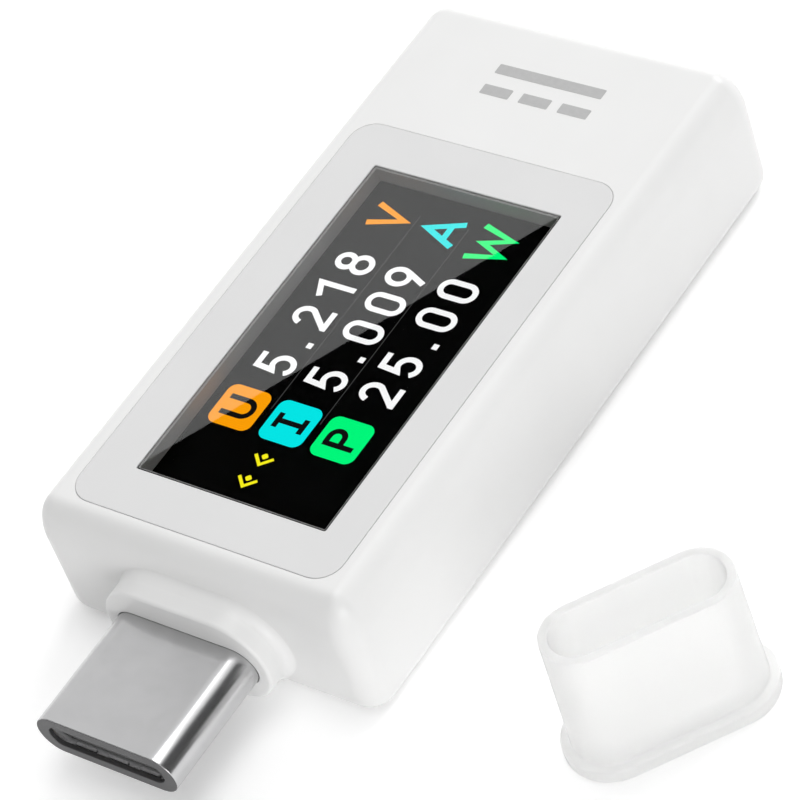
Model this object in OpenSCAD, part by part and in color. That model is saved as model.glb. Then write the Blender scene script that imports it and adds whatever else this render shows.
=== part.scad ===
// USB-C inline power meter with a separate plug cap.
// Millimetres. Origin: centre of the meter's flat back face.
// +Z points out of the display, -Y out of the plug, +X to the right of the plug.

/* [Case] */
// Width of the case across the display
case_w = 19.0; // [18.6:0.1:20.0]
// Length of the case from plug end to socket end
case_l = 37.4; // [36.8:0.1:40.0]
// Thickness of the case from back face to display face
case_t = 7.6; // [7.5:0.05:8.0]
// How far the rounded edge around the display face reaches inwards
top_r = 1.35; // [1.2:0.05:1.5]
// How far the rounded edge around the display face reaches down the sides
top_h = 2.4; // [1.4:0.1:2.8]
// Radius of the four upright corners
corner_r = 1.5; // [1.3:0.1:1.8]
// Thickness of the side and end walls
wall = 1.2; // [1.1:0.1:1.3]

/* [Display] */
// Width of the inlaid bezel panel
panel_w = 15.6; // [14.8:0.1:16.0]
// Length of the inlaid bezel panel
panel_l = 26.4; // [25.6:0.1:27.0]
// Width of the window
window_w = 11.2; // [10.8:0.1:11.4]
// Length of the window
window_l = 21.2; // [20.6:0.1:21.4]
// Centre of the window along the case
window_y = -4.0; // [-4.4:0.1:-3.8]
// How far the window sits to the right of the middle
window_x = 0.25; // [0:0.05:0.3]

/* [Plug] */
// Width of the plug shell
plug_w = 8.25; // [8.2:0.05:8.3]
// Height of the plug shell
plug_h = 2.4; // [2.35:0.05:2.45]
// Length of bare plug in front of the boss
plug_len = 6.75; // [6.4:0.05:6.9]
// Length of the boss in front of the end face
boss_len = 1.45; // [1.0:0.05:1.8]
// Height of the plug centre above the back face
plug_z = 2.9; // [2.85:0.05:2.95]

/* [Cap] */
// Height of the cap from its flange to its mouth
cap_h = 7.8; // [7.4:0.1:8.4]
// Wall of the cap at its mouth
cap_wall = 0.45; // [0.4:0.05:0.6]
// Place of the cap to the right of the meter
cap_x = 22.0; // [18:0.1:30]
// Place of the cap along the meter
cap_y = -13.2; // [-30:0.1:10]
// Turn of the cap about its upright axis
cap_yaw = 53; // [0:1:90]
// How far the cap is lifted off the table
cap_lift = 0; // [0:0.5:30]

/* [Hidden] */
$fn = 48;
e = 0.01;
end_y = case_l / 2;
in_w = case_w - 2 * wall;
in_l = case_l - 2 * wall;
roof_z = case_t - 1.0;
panel_z = case_t - 0.6;
lens_z = case_t - 0.15;
panel_r = 1.3;
lcd_w = 13.3;
lcd_l = 27.6;
lcd_y = window_y + 1.5;
lcd_top = roof_z - 0.02;
lcd_t = 1.4;
lcd_z = lcd_top - lcd_t;
pcb_t = 0.8;
pcb_z = plug_z - pcb_t / 2;
pcb_top = plug_z + pcb_t / 2;
pcb_w = in_w - 0.3;
pcb_l = in_l - 0.5;
cover_t = 1.0;
boss_w = 9.67;
boss_h = 5.3;
boss_z = plug_z + 0.1;
boss_y = -end_y - boss_len;
tip_y = boss_y - plug_len;
shell_back = -end_y + 6.0;
house_y = -in_l / 2 + 0.15;
sock_w = 8.94;
sock_h = 3.26;
sock_in_w = 8.34;
sock_in_h = 2.56;
sock_l = 7.35;
post_x = in_w / 2 - 0.75;
post_y = in_l / 2 - 1.3;
clip_y = 8.5;
pitch = 0.5;

function row(i) = (i - 5.5) * pitch;

// Rounded rectangle, centred, from squares and circles only.
module rrect(w, l, r) {
    square([w - 2 * r, l], center = true);
    square([w, l - 2 * r], center = true);
    for (sx = [-1, 1], sy = [-1, 1])
        translate([sx * (w / 2 - r), sy * (l / 2 - r)])
            circle(r = r);
}

// Slot shape with full round ends, centred.
module stadium(w, h) {
    square([w - h, h], center = true);
    for (s = [-1, 1])
        translate([s * (w - h) / 2, 0])
            circle(d = h);
}

// Plate standing on z.
module plate(w, l, t, r, z) {
    translate([0, 0, z])
        linear_extrude(t)
            rrect(w, l, r);
}

// Slot-shaped bar lying along Y from y0 to y1, at height z.
module bar(w, h, y0, y1, z) {
    translate([0, y1, z])
        rotate([90, 0, 0])
            linear_extrude(y1 - y0)
                stadium(w, h);
}

module box(w, l, t, x, y, z) {
    translate([x - w / 2, y - l / 2, z])
        cube([w, l, t]);
}

module case_outline() {
    hull() {
        for (sx = [-1, 1], sy = [-1, 1]) {
            translate([sx * (case_w / 2 - top_r), sy * (end_y - top_r), case_t - top_h])
                scale([1, 1, top_h / top_r])
                    sphere(r = top_r, $fn = 32);
            translate([sx * (case_w / 2 - corner_r), sy * (end_y - corner_r), 0.25])
                cylinder(r = corner_r, h = case_t - top_h - 0.25, $fn = 32);
            translate([sx * (case_w / 2 - corner_r), sy * (end_y - corner_r), 0])
                cylinder(r1 = corner_r - 0.25, r2 = corner_r, h = 0.25, $fn = 32);
        }
    }
}

module boss() {
    bar(boss_w, boss_h, boss_y, -end_y + 0.6, boss_z);
    hull() {
        bar(boss_w, boss_h, -end_y - 0.75, -end_y - 0.7, boss_z);
        bar(boss_w + 1.4, boss_h + 0.65, -end_y + 0.3, -end_y + 0.35, boss_z);
    }
}

module front_case() {
    color([0.94, 0.94, 0.94])
    difference() {
        union() {
            difference() {
                union() {
                    case_outline();
                    boss();
                }
                translate([0, 0, -1])
                    linear_extrude(roof_z + 1)
                        rrect(in_w, in_l, 0.6);
            }
            for (sx = [-1, 1], sy = [-1, 1])
                translate([sx * post_x, sy * post_y, pcb_top + 0.03])
                    cylinder(d = 1.5, h = roof_z - pcb_top);
        }
        translate([0, window_y, panel_z])
            linear_extrude(2)
                rrect(panel_w + 0.1, panel_l + 0.1, panel_r + 0.05);
        translate([window_x, window_y, roof_z - 1])
            linear_extrude(2)
                rrect(window_w + 1.7, window_l + 1.7, 0.5);
        bar(plug_w + 0.2, plug_h + 0.2, boss_y - 1, -end_y + 2, plug_z);
        bar(sock_w + 0.2, sock_h + 0.2, end_y - 2, end_y + 1, plug_z);
        for (sx = [-1, 1], sy = [-1, 1])
            box(0.7, 3.4, 0.5, sx * (in_w / 2), sy * clip_y, 1.45);
    }
}

module rear_cover() {
    color([0.93, 0.93, 0.93])
    union() {
        plate(in_w - 0.2, in_l - 0.2, cover_t, 0.5, 0);
        for (sx = [-1, 1], sy = [-1, 1]) {
            translate([sx * post_x, sy * post_y, cover_t - e])
                cylinder(d = 1.3, h = pcb_z - cover_t - 0.03 + e);
            box(0.6, 2.8, 1.1, sx * (in_w / 2 - 0.4), sy * clip_y, cover_t - e);
            box(0.35, 2.8, 0.3, sx * (in_w / 2 + 0.02), sy * clip_y, 1.55);
        }
        for (sy = [-1, 1])
            box(in_w - 6, 0.6, 0.35, 0, sy * 10.2, cover_t - e);
    }
}

module display_panel() {
    color([0.95, 0.95, 0.95])
    translate([0, window_y, panel_z])
        linear_extrude(case_t - panel_z)
            difference() {
                rrect(panel_w, panel_l, panel_r);
                translate([window_x, 0])
                    rrect(window_w, window_l, 0.1);
            }
}

module window_lens() {
    color([0.85, 0.88, 0.9, 0.35])
    translate([window_x, window_y, lens_z])
        linear_extrude(case_t - lens_z)
            rrect(window_w - 0.06, window_l - 0.06, 0.08);
}

module window_gasket() {
    color([0.25, 0.25, 0.25])
    translate([window_x, window_y, 0])
    difference() {
        union() {
            plate(window_w + 1.5, window_l + 1.5, panel_z - roof_z - 0.02, 0.45, roof_z);
            plate(window_w - 0.06, window_l - 0.06, lens_z - roof_z - 0.01, 0.08, roof_z);
        }
        plate(window_w - 0.3, window_l - 0.3, 3, 0.05, roof_z - 1);
    }
}

module lcd_frame() {
    color([0.86, 0.87, 0.88])
    translate([0, lcd_y, 0])
    difference() {
        plate(lcd_w, lcd_l, lcd_t - 0.1, 0.3, lcd_z);
        translate([0, -0.4, 0])
            plate(lcd_w - 1.0, lcd_l - 1.8, 3, 0.1, lcd_z + 0.2);
        box(8.4, 3.2, 3, 0, lcd_l / 2, lcd_z + 0.75);
    }
}

module lcd_glass() {
    color([0.04, 0.04, 0.05])
    translate([0, lcd_y - 0.4, 0])
    union() {
        box(lcd_w - 1.1, lcd_l - 1.9, 0.35, 0, 0, lcd_z + 0.78);
        box(lcd_w - 1.1, lcd_l - 4.2, 0.32, 0, -1.15, lcd_z + 1.08);
    }
}

module light_guide() {
    color([0.92, 0.94, 0.96])
    box(lcd_w - 1.2, lcd_l - 2.2, 0.5, 0, lcd_y - 0.4, lcd_z + 0.23);
}

// Ribbon that leaves the glass, wraps round the frame's end and lands on the board.
module lcd_flex() {
    y0 = lcd_y + lcd_l / 2 + 0.1;
    zt = lcd_z + 0.92;
    zb = lcd_z - 0.28;
    rr = (zt - zb) / 2;
    color([0.72, 0.42, 0.12])
    translate([-3.9, 0, 0])
    rotate([90, 0, 90])
    linear_extrude(7.8)
    union() {
        translate([y0 - 1.45, zt - 0.12])
            square([1.45, 0.12]);
        translate([y0, (zt + zb) / 2])
            difference() {
                circle(r = rr);
                circle(r = rr - 0.12);
                translate([-5, -5])
                    square([5, 10]);
            }
        translate([y0 - 3.0, zb])
            square([3.0, 0.12]);
        polygon([[y0 - 3.0, zb], [y0 - 3.0, zb + 0.12], [y0 - 4.2, pcb_top + 0.16],
            [y0 - 6.2, pcb_top + 0.16], [y0 - 6.2, pcb_top + 0.04], [y0 - 4.2, pcb_top + 0.04]]);
    }
}

module lcd_pads() {
    color([0.2, 0.2, 0.2])
    for (sx = [-1, 1], y = [-11, 3])
        box(2.2, 3.6, lcd_z - pcb_top - 0.04, sx * 5.2, y, pcb_top + 0.02);
}

module main_board() {
    color([0.05, 0.28, 0.16])
    translate([0, 0, pcb_z])
        linear_extrude(pcb_t)
            difference() {
                rrect(pcb_w, pcb_l, 0.5);
                translate([-4.75, -pcb_l / 2 - 1])
                    square([9.5, 1 + shell_back + pcb_l / 2 + 0.7]);
                translate([-4.75, end_y - sock_l - 0.15])
                    square([9.5, sock_l + 1]);
                for (sx = [-1, 1])
                    translate([sx * (pcb_w / 2), clip_y])
                        square([0.9, 3.6], center = true);
                for (sx = [-1, 1])
                    translate([sx * (pcb_w / 2), -clip_y])
                        square([0.9, 3.6], center = true);
            }
}

// Small leaded or leadless chip: body with a row of terminals on two sides.
module chip(w, l, t, n, p, x, y, z, up) {
    translate([x, y, z])
        mirror([0, 0, up ? 0 : 1]) {
            translate([-w / 2, -l / 2, 0.06])
                cube([w, l, t]);
            for (s = [-1, 1], i = [0:n - 1])
                translate([s * (w / 2 + 0.12) - 0.2, (i - (n - 1) / 2) * p - 0.1, 0])
                    cube([0.4, 0.2, 0.14]);
        }
}

// Ceramic chip part: body between two end caps.
module chip_part(w, l, t, x, y, z, up) {
    translate([x, y, z])
        mirror([0, 0, up ? 0 : 1]) {
            translate([-w / 2, -l / 2, 0.03])
                cube([w, l, t - 0.06]);
            for (s = [-1, 1])
                translate([-w / 2 - 0.02, s * (l / 2 - 0.1) - 0.12, 0])
                    cube([w + 0.04, 0.24, t]);
        }
}

module microcontroller() {
    color([0.07, 0.07, 0.08])
    chip(4.4, 5.0, 0.9, 8, 0.6, 0, -5.0, pcb_top + 0.02, true);
}

module sense_amplifier() {
    color([0.08, 0.08, 0.09])
    chip(2.2, 2.6, 0.9, 4, 0.6, 0, 1.2, pcb_z - 0.02, false);
}

module shunt_resistor() {
    color([0.10, 0.10, 0.11])
    chip_part(3.2, 6.3, 0.6, -5.4, 1.0, pcb_z - 0.02, false);
}

module voltage_regulator() {
    color([0.09, 0.09, 0.10])
    chip(1.6, 2.9, 1.0, 3, 0.95, 5.4, 1.0, pcb_z - 0.02, false);
}

module capacitors() {
    color([0.62, 0.50, 0.38])
    union() {
        for (y = [-9.6, -0.4, 2.4])
            chip_part(0.8, 1.6, 0.8, 1.2, y, pcb_top + 0.02, true);
        for (y = [-6, -3.6, 5.0, 7.4])
            chip_part(0.8, 1.6, 0.8, 5.4, y, pcb_z - 0.02, false);
    }
}

module resistors() {
    color([0.12, 0.12, 0.13])
    for (x = [-3, -1, 1, 3], y = [-6.5, 5.5])
        chip_part(0.5, 1.0, 0.35, x, y, pcb_z - 0.02, false);
}

module plug_shell() {
    color([0.74, 0.74, 0.75])
    difference() {
        bar(plug_w, plug_h, tip_y, shell_back, plug_z);
        bar(plug_w - 1.3, plug_h - 0.9, tip_y - 1, tip_y + 1, plug_z);
        bar(plug_w - 0.4, plug_h - 0.4, tip_y + 0.25, shell_back + 1, plug_z);
    }
}

module plug_insulator() {
    color([0.1, 0.1, 0.11])
    difference() {
        bar(plug_w - 0.44, plug_h - 0.44, tip_y + 0.75, shell_back + 0.6, plug_z);
        bar(6.9, 0.94, tip_y - 1, boss_y, plug_z);
        for (s = [-1, 1])
            box(5.9, 5.0, 0.24, 0, tip_y + 3.9, plug_z - 0.12 + s * 0.55);
        for (s = [-1, 1])
            box(0.9, 5.0, 1.0, s * 3.5, tip_y + 3.4, plug_z - 0.5);
    }
}

module plug_contact_row(s) {
    for (i = [0:11])
        box(0.26, 4.8, 0.14, row(i), tip_y + 3.9, plug_z - 0.07 + s * 0.54);
}

module plug_contacts_upper() {
    color([0.85, 0.68, 0.30])
    plug_contact_row(1);
}

module plug_contacts_lower() {
    color([0.85, 0.68, 0.30])
    plug_contact_row(-1);
}

module plug_latches() {
    color([0.78, 0.78, 0.79])
    for (s = [-1, 1]) {
        box(0.22, 4.6, 0.7, s * 3.72, tip_y + 3.4, plug_z - 0.35);
        box(0.3, 0.8, 0.7, s * 3.5, tip_y + 1.7, plug_z - 0.35);
    }
}

module plug_emi_springs() {
    color([0.78, 0.78, 0.79])
    for (s = [-1, 1], x = [-1.9, 0, 1.9])
        box(1.2, 0.16, 0.4, x, tip_y + 0.5, plug_z - 0.2 + s * 0.76);
}

module plug_housing() {
    color([0.12, 0.12, 0.13])
    difference() {
        box(9.2, 4.3, 3.1, 0, house_y + 2.15, plug_z - 1.55);
        bar(plug_w + 0.04, plug_h + 0.04, house_y - 1, shell_back + 1, plug_z);
    }
}

module socket_shell() {
    color([0.76, 0.76, 0.77])
    difference() {
        bar(sock_w, sock_h, end_y - sock_l, end_y - 0.05, plug_z);
        bar(sock_in_w, sock_in_h, end_y - sock_l + 0.3, end_y + 1, plug_z);
    }
}

module socket_insulator() {
    color([0.08, 0.08, 0.09])
    difference() {
        union() {
            bar(sock_in_w - 0.06, sock_in_h - 0.06, end_y - sock_l + 0.35, end_y - 5.6, plug_z);
            box(6.69, 5.4, 0.7, 0, end_y - 3.2, plug_z - 0.35);
        }
        box(5.4, 5.3, 0.12, 0, end_y - 3.2, plug_z - 0.06);
        for (s = [-1, 1], i = [0:11])
            box(0.28, 4.0, 0.12, row(i), end_y - 3.0, plug_z - 0.06 + s * 0.32);
    }
}

module socket_contacts() {
    color([0.85, 0.68, 0.30])
    for (s = [-1, 1], i = [0:11])
        box(0.24, 3.9, 0.1, row(i), end_y - 3.0, plug_z - 0.05 + s * 0.32);
}

module socket_midplate() {
    color([0.70, 0.70, 0.72])
    box(5.36, 5.26, 0.1, 0, end_y - 3.2, plug_z - 0.05);
}

module plug_cap() {
    mw = plug_w + 0.2 + 2 * cap_wall;
    mh = plug_h + 0.3 + 2 * cap_wall;
    color([0.92, 0.92, 0.92])
    translate([cap_x, cap_y, cap_lift])
    rotate([0, 0, cap_yaw])
    difference() {
        union() {
            linear_extrude(0.75)
                stadium(mw + 1.2, mh + 1.3);
            hull() {
                translate([0, 0, 0.4])
                    linear_extrude(e)
                        stadium(mw + 0.3, mh + 0.4);
                translate([0, 0, cap_h - e])
                    linear_extrude(e)
                        stadium(mw, mh);
            }
        }
        translate([0, 0, cap_h - plug_len - 0.1])
            linear_extrude(cap_h)
                stadium(plug_w + 0.2, plug_h + 0.3);
    }
}

front_case();
rear_cover();
display_panel();
window_lens();
window_gasket();
lcd_frame();
lcd_glass();
light_guide();
lcd_flex();
lcd_pads();
main_board();
microcontroller();
sense_amplifier();
shunt_resistor();
voltage_regulator();
capacitors();
resistors();
plug_shell();
plug_insulator();
plug_contacts_upper();
plug_contacts_lower();
plug_latches();
plug_emi_springs();
plug_housing();
socket_shell();
socket_insulator();
socket_contacts();
socket_midplate();
plug_cap();
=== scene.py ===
"""Finished visual model of an inline USB-C power meter and its loose plug cap."""

import logging
import math
from dataclasses import dataclass, field
from enum import Enum
from typing import Callable, ClassVar, Iterable, Sequence

import bmesh
import bpy
from mathutils import Matrix, Vector


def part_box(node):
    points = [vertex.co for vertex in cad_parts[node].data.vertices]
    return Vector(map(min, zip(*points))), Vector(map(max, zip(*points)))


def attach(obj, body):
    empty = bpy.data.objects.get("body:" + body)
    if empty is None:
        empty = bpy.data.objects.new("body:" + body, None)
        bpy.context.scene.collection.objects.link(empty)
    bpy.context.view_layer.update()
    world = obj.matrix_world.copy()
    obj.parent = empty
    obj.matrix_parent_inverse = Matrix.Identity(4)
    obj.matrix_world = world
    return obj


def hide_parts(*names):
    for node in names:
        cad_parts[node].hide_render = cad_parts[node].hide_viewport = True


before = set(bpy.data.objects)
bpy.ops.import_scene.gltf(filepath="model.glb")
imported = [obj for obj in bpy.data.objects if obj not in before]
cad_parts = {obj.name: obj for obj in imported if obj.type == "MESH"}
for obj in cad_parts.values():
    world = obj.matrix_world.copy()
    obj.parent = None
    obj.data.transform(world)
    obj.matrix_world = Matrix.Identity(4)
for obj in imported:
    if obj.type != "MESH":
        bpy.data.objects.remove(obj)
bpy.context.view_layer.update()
LOG = logging.getLogger("power_meter")
MM = 0.001

Point2 = tuple[float, float]
Point3 = tuple[float, float, float]
Colour = tuple[float, float, float]
Ring = list[Vector]
Wire = bpy.types.NodeSocket


# ---------------------------------------------------------------- outlines

def rounded_rect(width: float, length: float, radius: float, steps: int = 12) -> list[Point2]:
    """Anticlockwise outline of a rounded rectangle about the origin.

    Args:
        width: Size along the first axis.
        length: Size along the second axis.
        radius: Corner radius.
        steps: Segments in each corner.

    Returns:
        Four corners of steps + 1 points each.
    """
    cx, cy = width / 2 - radius, length / 2 - radius
    points = []
    for corner, (sx, sy) in enumerate(((1, 1), (-1, 1), (-1, -1), (1, -1))):
        for i in range(steps + 1):
            a = math.pi / 2 * (corner + i / steps)
            points.append((sx * cx + radius * math.cos(a), sy * cy + radius * math.sin(a)))
    return points


def stadium(width: float, height: float, steps: int = 24) -> list[Point2]:
    """Anticlockwise outline of a slot with full round ends.

    Args:
        width: Overall size along the first axis.
        height: Overall size along the second axis.
        steps: Segments in each round end.

    Returns:
        Two ends of steps + 1 points each, with the straights cut in four.
    """
    r = height / 2
    s = (width - height) / 2
    points = []
    for side, start in ((1, -math.pi / 2), (-1, math.pi / 2)):
        for i in range(steps + 1):
            a = start + math.pi * i / steps
            points.append((side * s + r * math.cos(a), r * math.sin(a)))
        for k in (1, 2, 3):
            points.append((side * s * (1 - k / 2), side * r))
    return points


def grown(size: Point2, by: float) -> Point2:
    """A size with as much added on every side, or taken off when by is negative."""
    return size[0] + 2 * by, size[1] + 2 * by


def lift(outline: Iterable[Point2], z: float, centre: Point2 = (0.0, 0.0)) -> Ring:
    """Put a flat outline at height z."""
    return [Vector((x + centre[0], y + centre[1], z)) for x, y in outline]


def stand(outline: Iterable[Point2], y: float, z: float) -> Ring:
    """Stand a flat outline up in the XZ plane at y, centred at height z."""
    return [Vector((x, y, z + v)) for x, v in outline]


def quarter(steps: int) -> list[Point2]:
    """Sine and one minus cosine of angles from 0 to 90 degrees."""
    return [(math.sin(math.pi / 2 * i / steps), 1 - math.cos(math.pi / 2 * i / steps))
            for i in range(steps + 1)]


def box_mm(node: str) -> tuple[Vector, Vector]:
    """Lowest and highest corner of a CAD node in millimetres."""
    low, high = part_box(node)
    return low / MM, high / MM


def middle(low: Vector, high: Vector) -> Point2:
    """Middle of a box in plan."""
    return (low.x + high.x) / 2, (low.y + high.y) / 2


# ---------------------------------------------------------------- meshes

def linked(name: str, data: bpy.types.ID) -> bpy.types.Object:
    """Put new data into the scene as an object.

    Args:
        name: Object name.
        data: Mesh, light or camera.

    Returns:
        The object.
    """
    obj = bpy.data.objects.new(name, data)
    bpy.context.scene.collection.objects.link(obj)
    return obj


class Shell:
    """Collects rings of points, in millimetres, into one mesh.

    Attributes:
        MERGE: Points closer than this, in metres, become one.
    """

    MERGE: ClassVar[float] = 1e-8

    def __init__(self) -> None:
        """Start empty."""
        self.bm = bmesh.new()

    def loft(self, rings: Sequence[Ring], closed: bool = False) -> None:
        """Join rings of equal length with quads.

        Args:
            rings: Rings in order.
            closed: Join the last ring to the first, in place of a face at both ends.
        """
        made = [[self.bm.verts.new(p * MM) for p in ring] for ring in rings]
        for a, b in zip(made, made[1:] + made[:1] if closed else made[1:]):
            for j in range(len(a)):
                k = (j + 1) % len(a)
                self.bm.faces.new((a[j], a[k], b[k], b[j]))
        if not closed:
            self.bm.faces.new(list(reversed(made[0])))
            self.bm.faces.new(made[-1])

    def block(self, low: Sequence[float], high: Sequence[float], bevel: float = 0.0) -> None:
        """Add a box between two corners, with its edges eased.

        Args:
            low: Lowest corner.
            high: Highest corner.
            bevel: Width of the eased edge, 0 for none.
        """
        size = [h - l for l, h in zip(low, high)]
        mid = [(h + l) / 2 for l, h in zip(low, high)]
        place = Matrix.Translation(Vector(mid) * MM) @ Matrix.Diagonal(Vector(size) * MM).to_4x4()
        got = bmesh.ops.create_cube(self.bm, size=1.0, matrix=place)
        if bevel > 0:
            edges = list(dict.fromkeys(e for v in got["verts"] for e in v.link_edges))
            bmesh.ops.bevel(self.bm, geom=edges, offset=bevel * MM, segments=2, profile=0.5,
                            affect="EDGES", clamp_overlap=True)

    def bar(self, at: Point2, half: Point2, low: float, high: float, bevel: float) -> None:
        """Add a block about a point in plan.

        Args:
            at: Centre in plan.
            half: Half sizes in plan.
            low: Lowest height.
            high: Highest height.
            bevel: Width of the eased edge.
        """
        self.block((at[0] - half[0], at[1] - half[1], low),
                   (at[0] + half[0], at[1] + half[1], high), bevel)

    def build(self, name: str, sharp: float = 32.0, weighted: bool = True) -> bpy.types.Object:
        """Turn what was collected into a shaded object at the origin.

        Args:
            name: Object name.
            sharp: Edges bent more than this many degrees stay sharp.
            weighted: Let large faces keep their own normals.

        Returns:
            The linked object.
        """
        bmesh.ops.remove_doubles(self.bm, verts=self.bm.verts, dist=self.MERGE)
        bmesh.ops.recalc_face_normals(self.bm, faces=self.bm.faces)
        mesh = bpy.data.meshes.new(name)
        self.bm.to_mesh(mesh)
        self.bm.free()
        obj = linked(name, mesh)
        smooth(obj, sharp, weighted)
        return obj


def smooth(obj: bpy.types.Object, sharp: float = 32.0, weighted: bool = True) -> None:
    """Shade an object smooth, keeping its hard edges.

    Args:
        obj: Mesh object.
        sharp: Angle in degrees above which an edge stays sharp.
        weighted: Weight the normals by face area.
    """
    obj.data.shade_smooth()
    obj.data.set_sharp_from_angle(angle=math.radians(sharp))
    if weighted:
        mod = obj.modifiers.new("even", "WEIGHTED_NORMAL")
        mod.keep_sharp = True
        mod.weight = 100
        bake(obj)


def bake(obj: bpy.types.Object) -> None:
    """Replace an object's mesh with its evaluated one and drop the modifiers.

    Args:
        obj: Object with live modifiers.
    """
    graph = bpy.context.evaluated_depsgraph_get()
    graph.update()
    mesh = bpy.data.meshes.new_from_object(obj.evaluated_get(graph), preserve_all_data_layers=True,
                                           depsgraph=graph)
    obj.modifiers.clear()
    old = obj.data
    obj.data = mesh
    mesh.name = obj.name
    if old.users == 0:
        bpy.data.meshes.remove(old)


def carve(obj: bpy.types.Object, cutters: Sequence[bpy.types.Object]) -> None:
    """Cut solids out of an object and remove the cutters.

    Args:
        obj: Solid to cut.
        cutters: Solids to take away, in order.
    """
    for cutter in cutters:
        mod = obj.modifiers.new("cut", "BOOLEAN")
        mod.operation = "DIFFERENCE"
        mod.solver = "EXACT"
        mod.object = cutter
        bake(obj)
        mesh = cutter.data
        bpy.data.objects.remove(cutter)
        bpy.data.meshes.remove(mesh)


def merge(name: str, parts: Sequence[bpy.types.Object]) -> bpy.types.Object:
    """Join objects into the first one and rename it.

    Args:
        name: Name of the joined object.
        parts: Objects to join.

    Returns:
        The first object, now holding all of them.
    """
    with bpy.context.temp_override(active_object=parts[0], object=parts[0],
                                   selected_objects=list(parts),
                                   selected_editable_objects=list(parts)):
        bpy.ops.object.join()
    parts[0].name = name
    return parts[0]


# ---------------------------------------------------------------- finishes

def linear(code: str) -> Colour:
    """Turn a screen colour into a scene-linear one.

    Args:
        code: Six hexadecimal digits.

    Returns:
        Red, green and blue from 0 to 1.
    """
    out = []
    for i in (0, 2, 4):
        c = int(code[i:i + 2], 16) / 255
        out.append(c / 12.92 if c <= 0.04045 else ((c + 0.055) / 1.055) ** 2.4)
    return out[0], out[1], out[2]


def shade(colour: Colour, by: float) -> Colour:
    """Colour made darker or lighter by a factor."""
    return tuple(min(1.0, max(0.0, c * by)) for c in colour)


class Nodes:
    """Short hand for building one material's node tree.

    Attributes:
        LOW: Where most noise starts.
        HIGH: Where most noise ends.
    """

    LOW: ClassVar[float] = 0.3
    HIGH: ClassVar[float] = 0.7

    def __init__(self, name: str) -> None:
        """Start a material with an empty tree and an output.

        Args:
            name: Name of the finish.
        """
        self.material = bpy.data.materials.new("finish_" + name)
        self.material.use_nodes = True
        self.tree = self.material.node_tree
        self.tree.nodes.clear()
        self.out = self.add("ShaderNodeOutputMaterial")

    def add(self, kind: str, wires: dict[str | int, Wire] | None = None,
            **values: object) -> bpy.types.Node:
        """Add a node, fill it in and wire it up.

        Args:
            kind: Node type.
            wires: Outputs to join to it, by the name or place of its input.
            values: Attributes or input values by name, with _ for a space.

        Returns:
            The node.
        """
        node = self.tree.nodes.new(kind)
        for key, value in values.items():
            if hasattr(node, key):
                setattr(node, key, value)
            else:
                node.inputs[key.replace("_", " ")].default_value = value
        for key, wire in (wires or {}).items():
            self.tree.links.new(wire, node.inputs[key])
        return node

    def place(self, stretch: Sequence[float] = (1, 1, 1)) -> Wire:
        """Object coordinates, scaled along each axis."""
        coord = self.add("ShaderNodeTexCoord").outputs["Object"]
        return self.add("ShaderNodeMapping", {"Vector": coord}, Scale=stretch).outputs["Vector"]

    def noise(self, size_mm: float, detail: float = 3.0, rough: float = 0.5,
              stretch: Sequence[float] = (1, 1, 1)) -> Wire:
        """Noise over the piece.

        Args:
            size_mm: Rough size of its features.
            detail: How many finer layers it has.
            rough: How strong the finer layers are.
            stretch: Scale along each axis.

        Returns:
            Its value.
        """
        node = self.add("ShaderNodeTexNoise", {"Vector": self.place(stretch)},
                        Scale=1.0 / (size_mm * MM), Detail=detail, Roughness=rough)
        return node.outputs["Fac"]

    def span(self, value: Wire, low: float, high: float, start: float = LOW,
             stop: float = HIGH) -> Wire:
        """Map a value from one range to another.

        Args:
            value: What is mapped.
            low: Result at start.
            high: Result at stop.
            start: Value that gives low.
            stop: Value that gives high.

        Returns:
            The mapped value.
        """
        node = self.add("ShaderNodeMapRange", {"Value": value}, From_Min=start, From_Max=stop,
                        To_Min=low, To_Max=high)
        return node.outputs["Result"]

    def tint(self, value: Wire, dark: Colour, light: Colour) -> Wire:
        """Colour between two ends.

        Args:
            value: Noise that picks the colour.
            dark: Colour at its low end.
            light: Colour at its high end.

        Returns:
            The colour.
        """
        first, second, result = 6, 7, 2
        node = self.add("ShaderNodeMix", {0: self.span(value, 0.0, 1.0)}, data_type="RGBA")
        node.inputs[first].default_value = (*dark, 1)
        node.inputs[second].default_value = (*light, 1)
        return node.outputs[result]

    def mottle(self, value: Wire, colour: Colour, low: float, high: float = 1.0) -> Wire:
        """Colour that wanders between two factors of itself."""
        return self.tint(value, shade(colour, low), shade(colour, high))

    def bump(self, value: Wire, height_mm: float, strength: float,
             after: Wire | None = None) -> Wire:
        """Surface relief.

        Args:
            value: Shape of the relief.
            height_mm: Its height.
            strength: How much of it shows.
            after: Relief it is laid over.

        Returns:
            The bent normal.
        """
        wires = {"Height": value}
        if after is not None:
            wires["Normal"] = after
        node = self.add("ShaderNodeBump", wires, Strength=strength, Distance=height_mm * MM)
        return node.outputs["Normal"]

    def surface(self, wires: dict[str | int, Wire], **values: object) -> bpy.types.Material:
        """Finish the material with its principled shader.

        Args:
            wires: What varies over the piece, by the shader's input.
            values: What is the same all over, by name, with _ for a space.

        Returns:
            The material.
        """
        shader = self.add("ShaderNodeBsdfPrincipled", wires, **values)
        self.tree.links.new(shader.outputs[0], self.out.inputs["Surface"])
        return self.material


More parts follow.
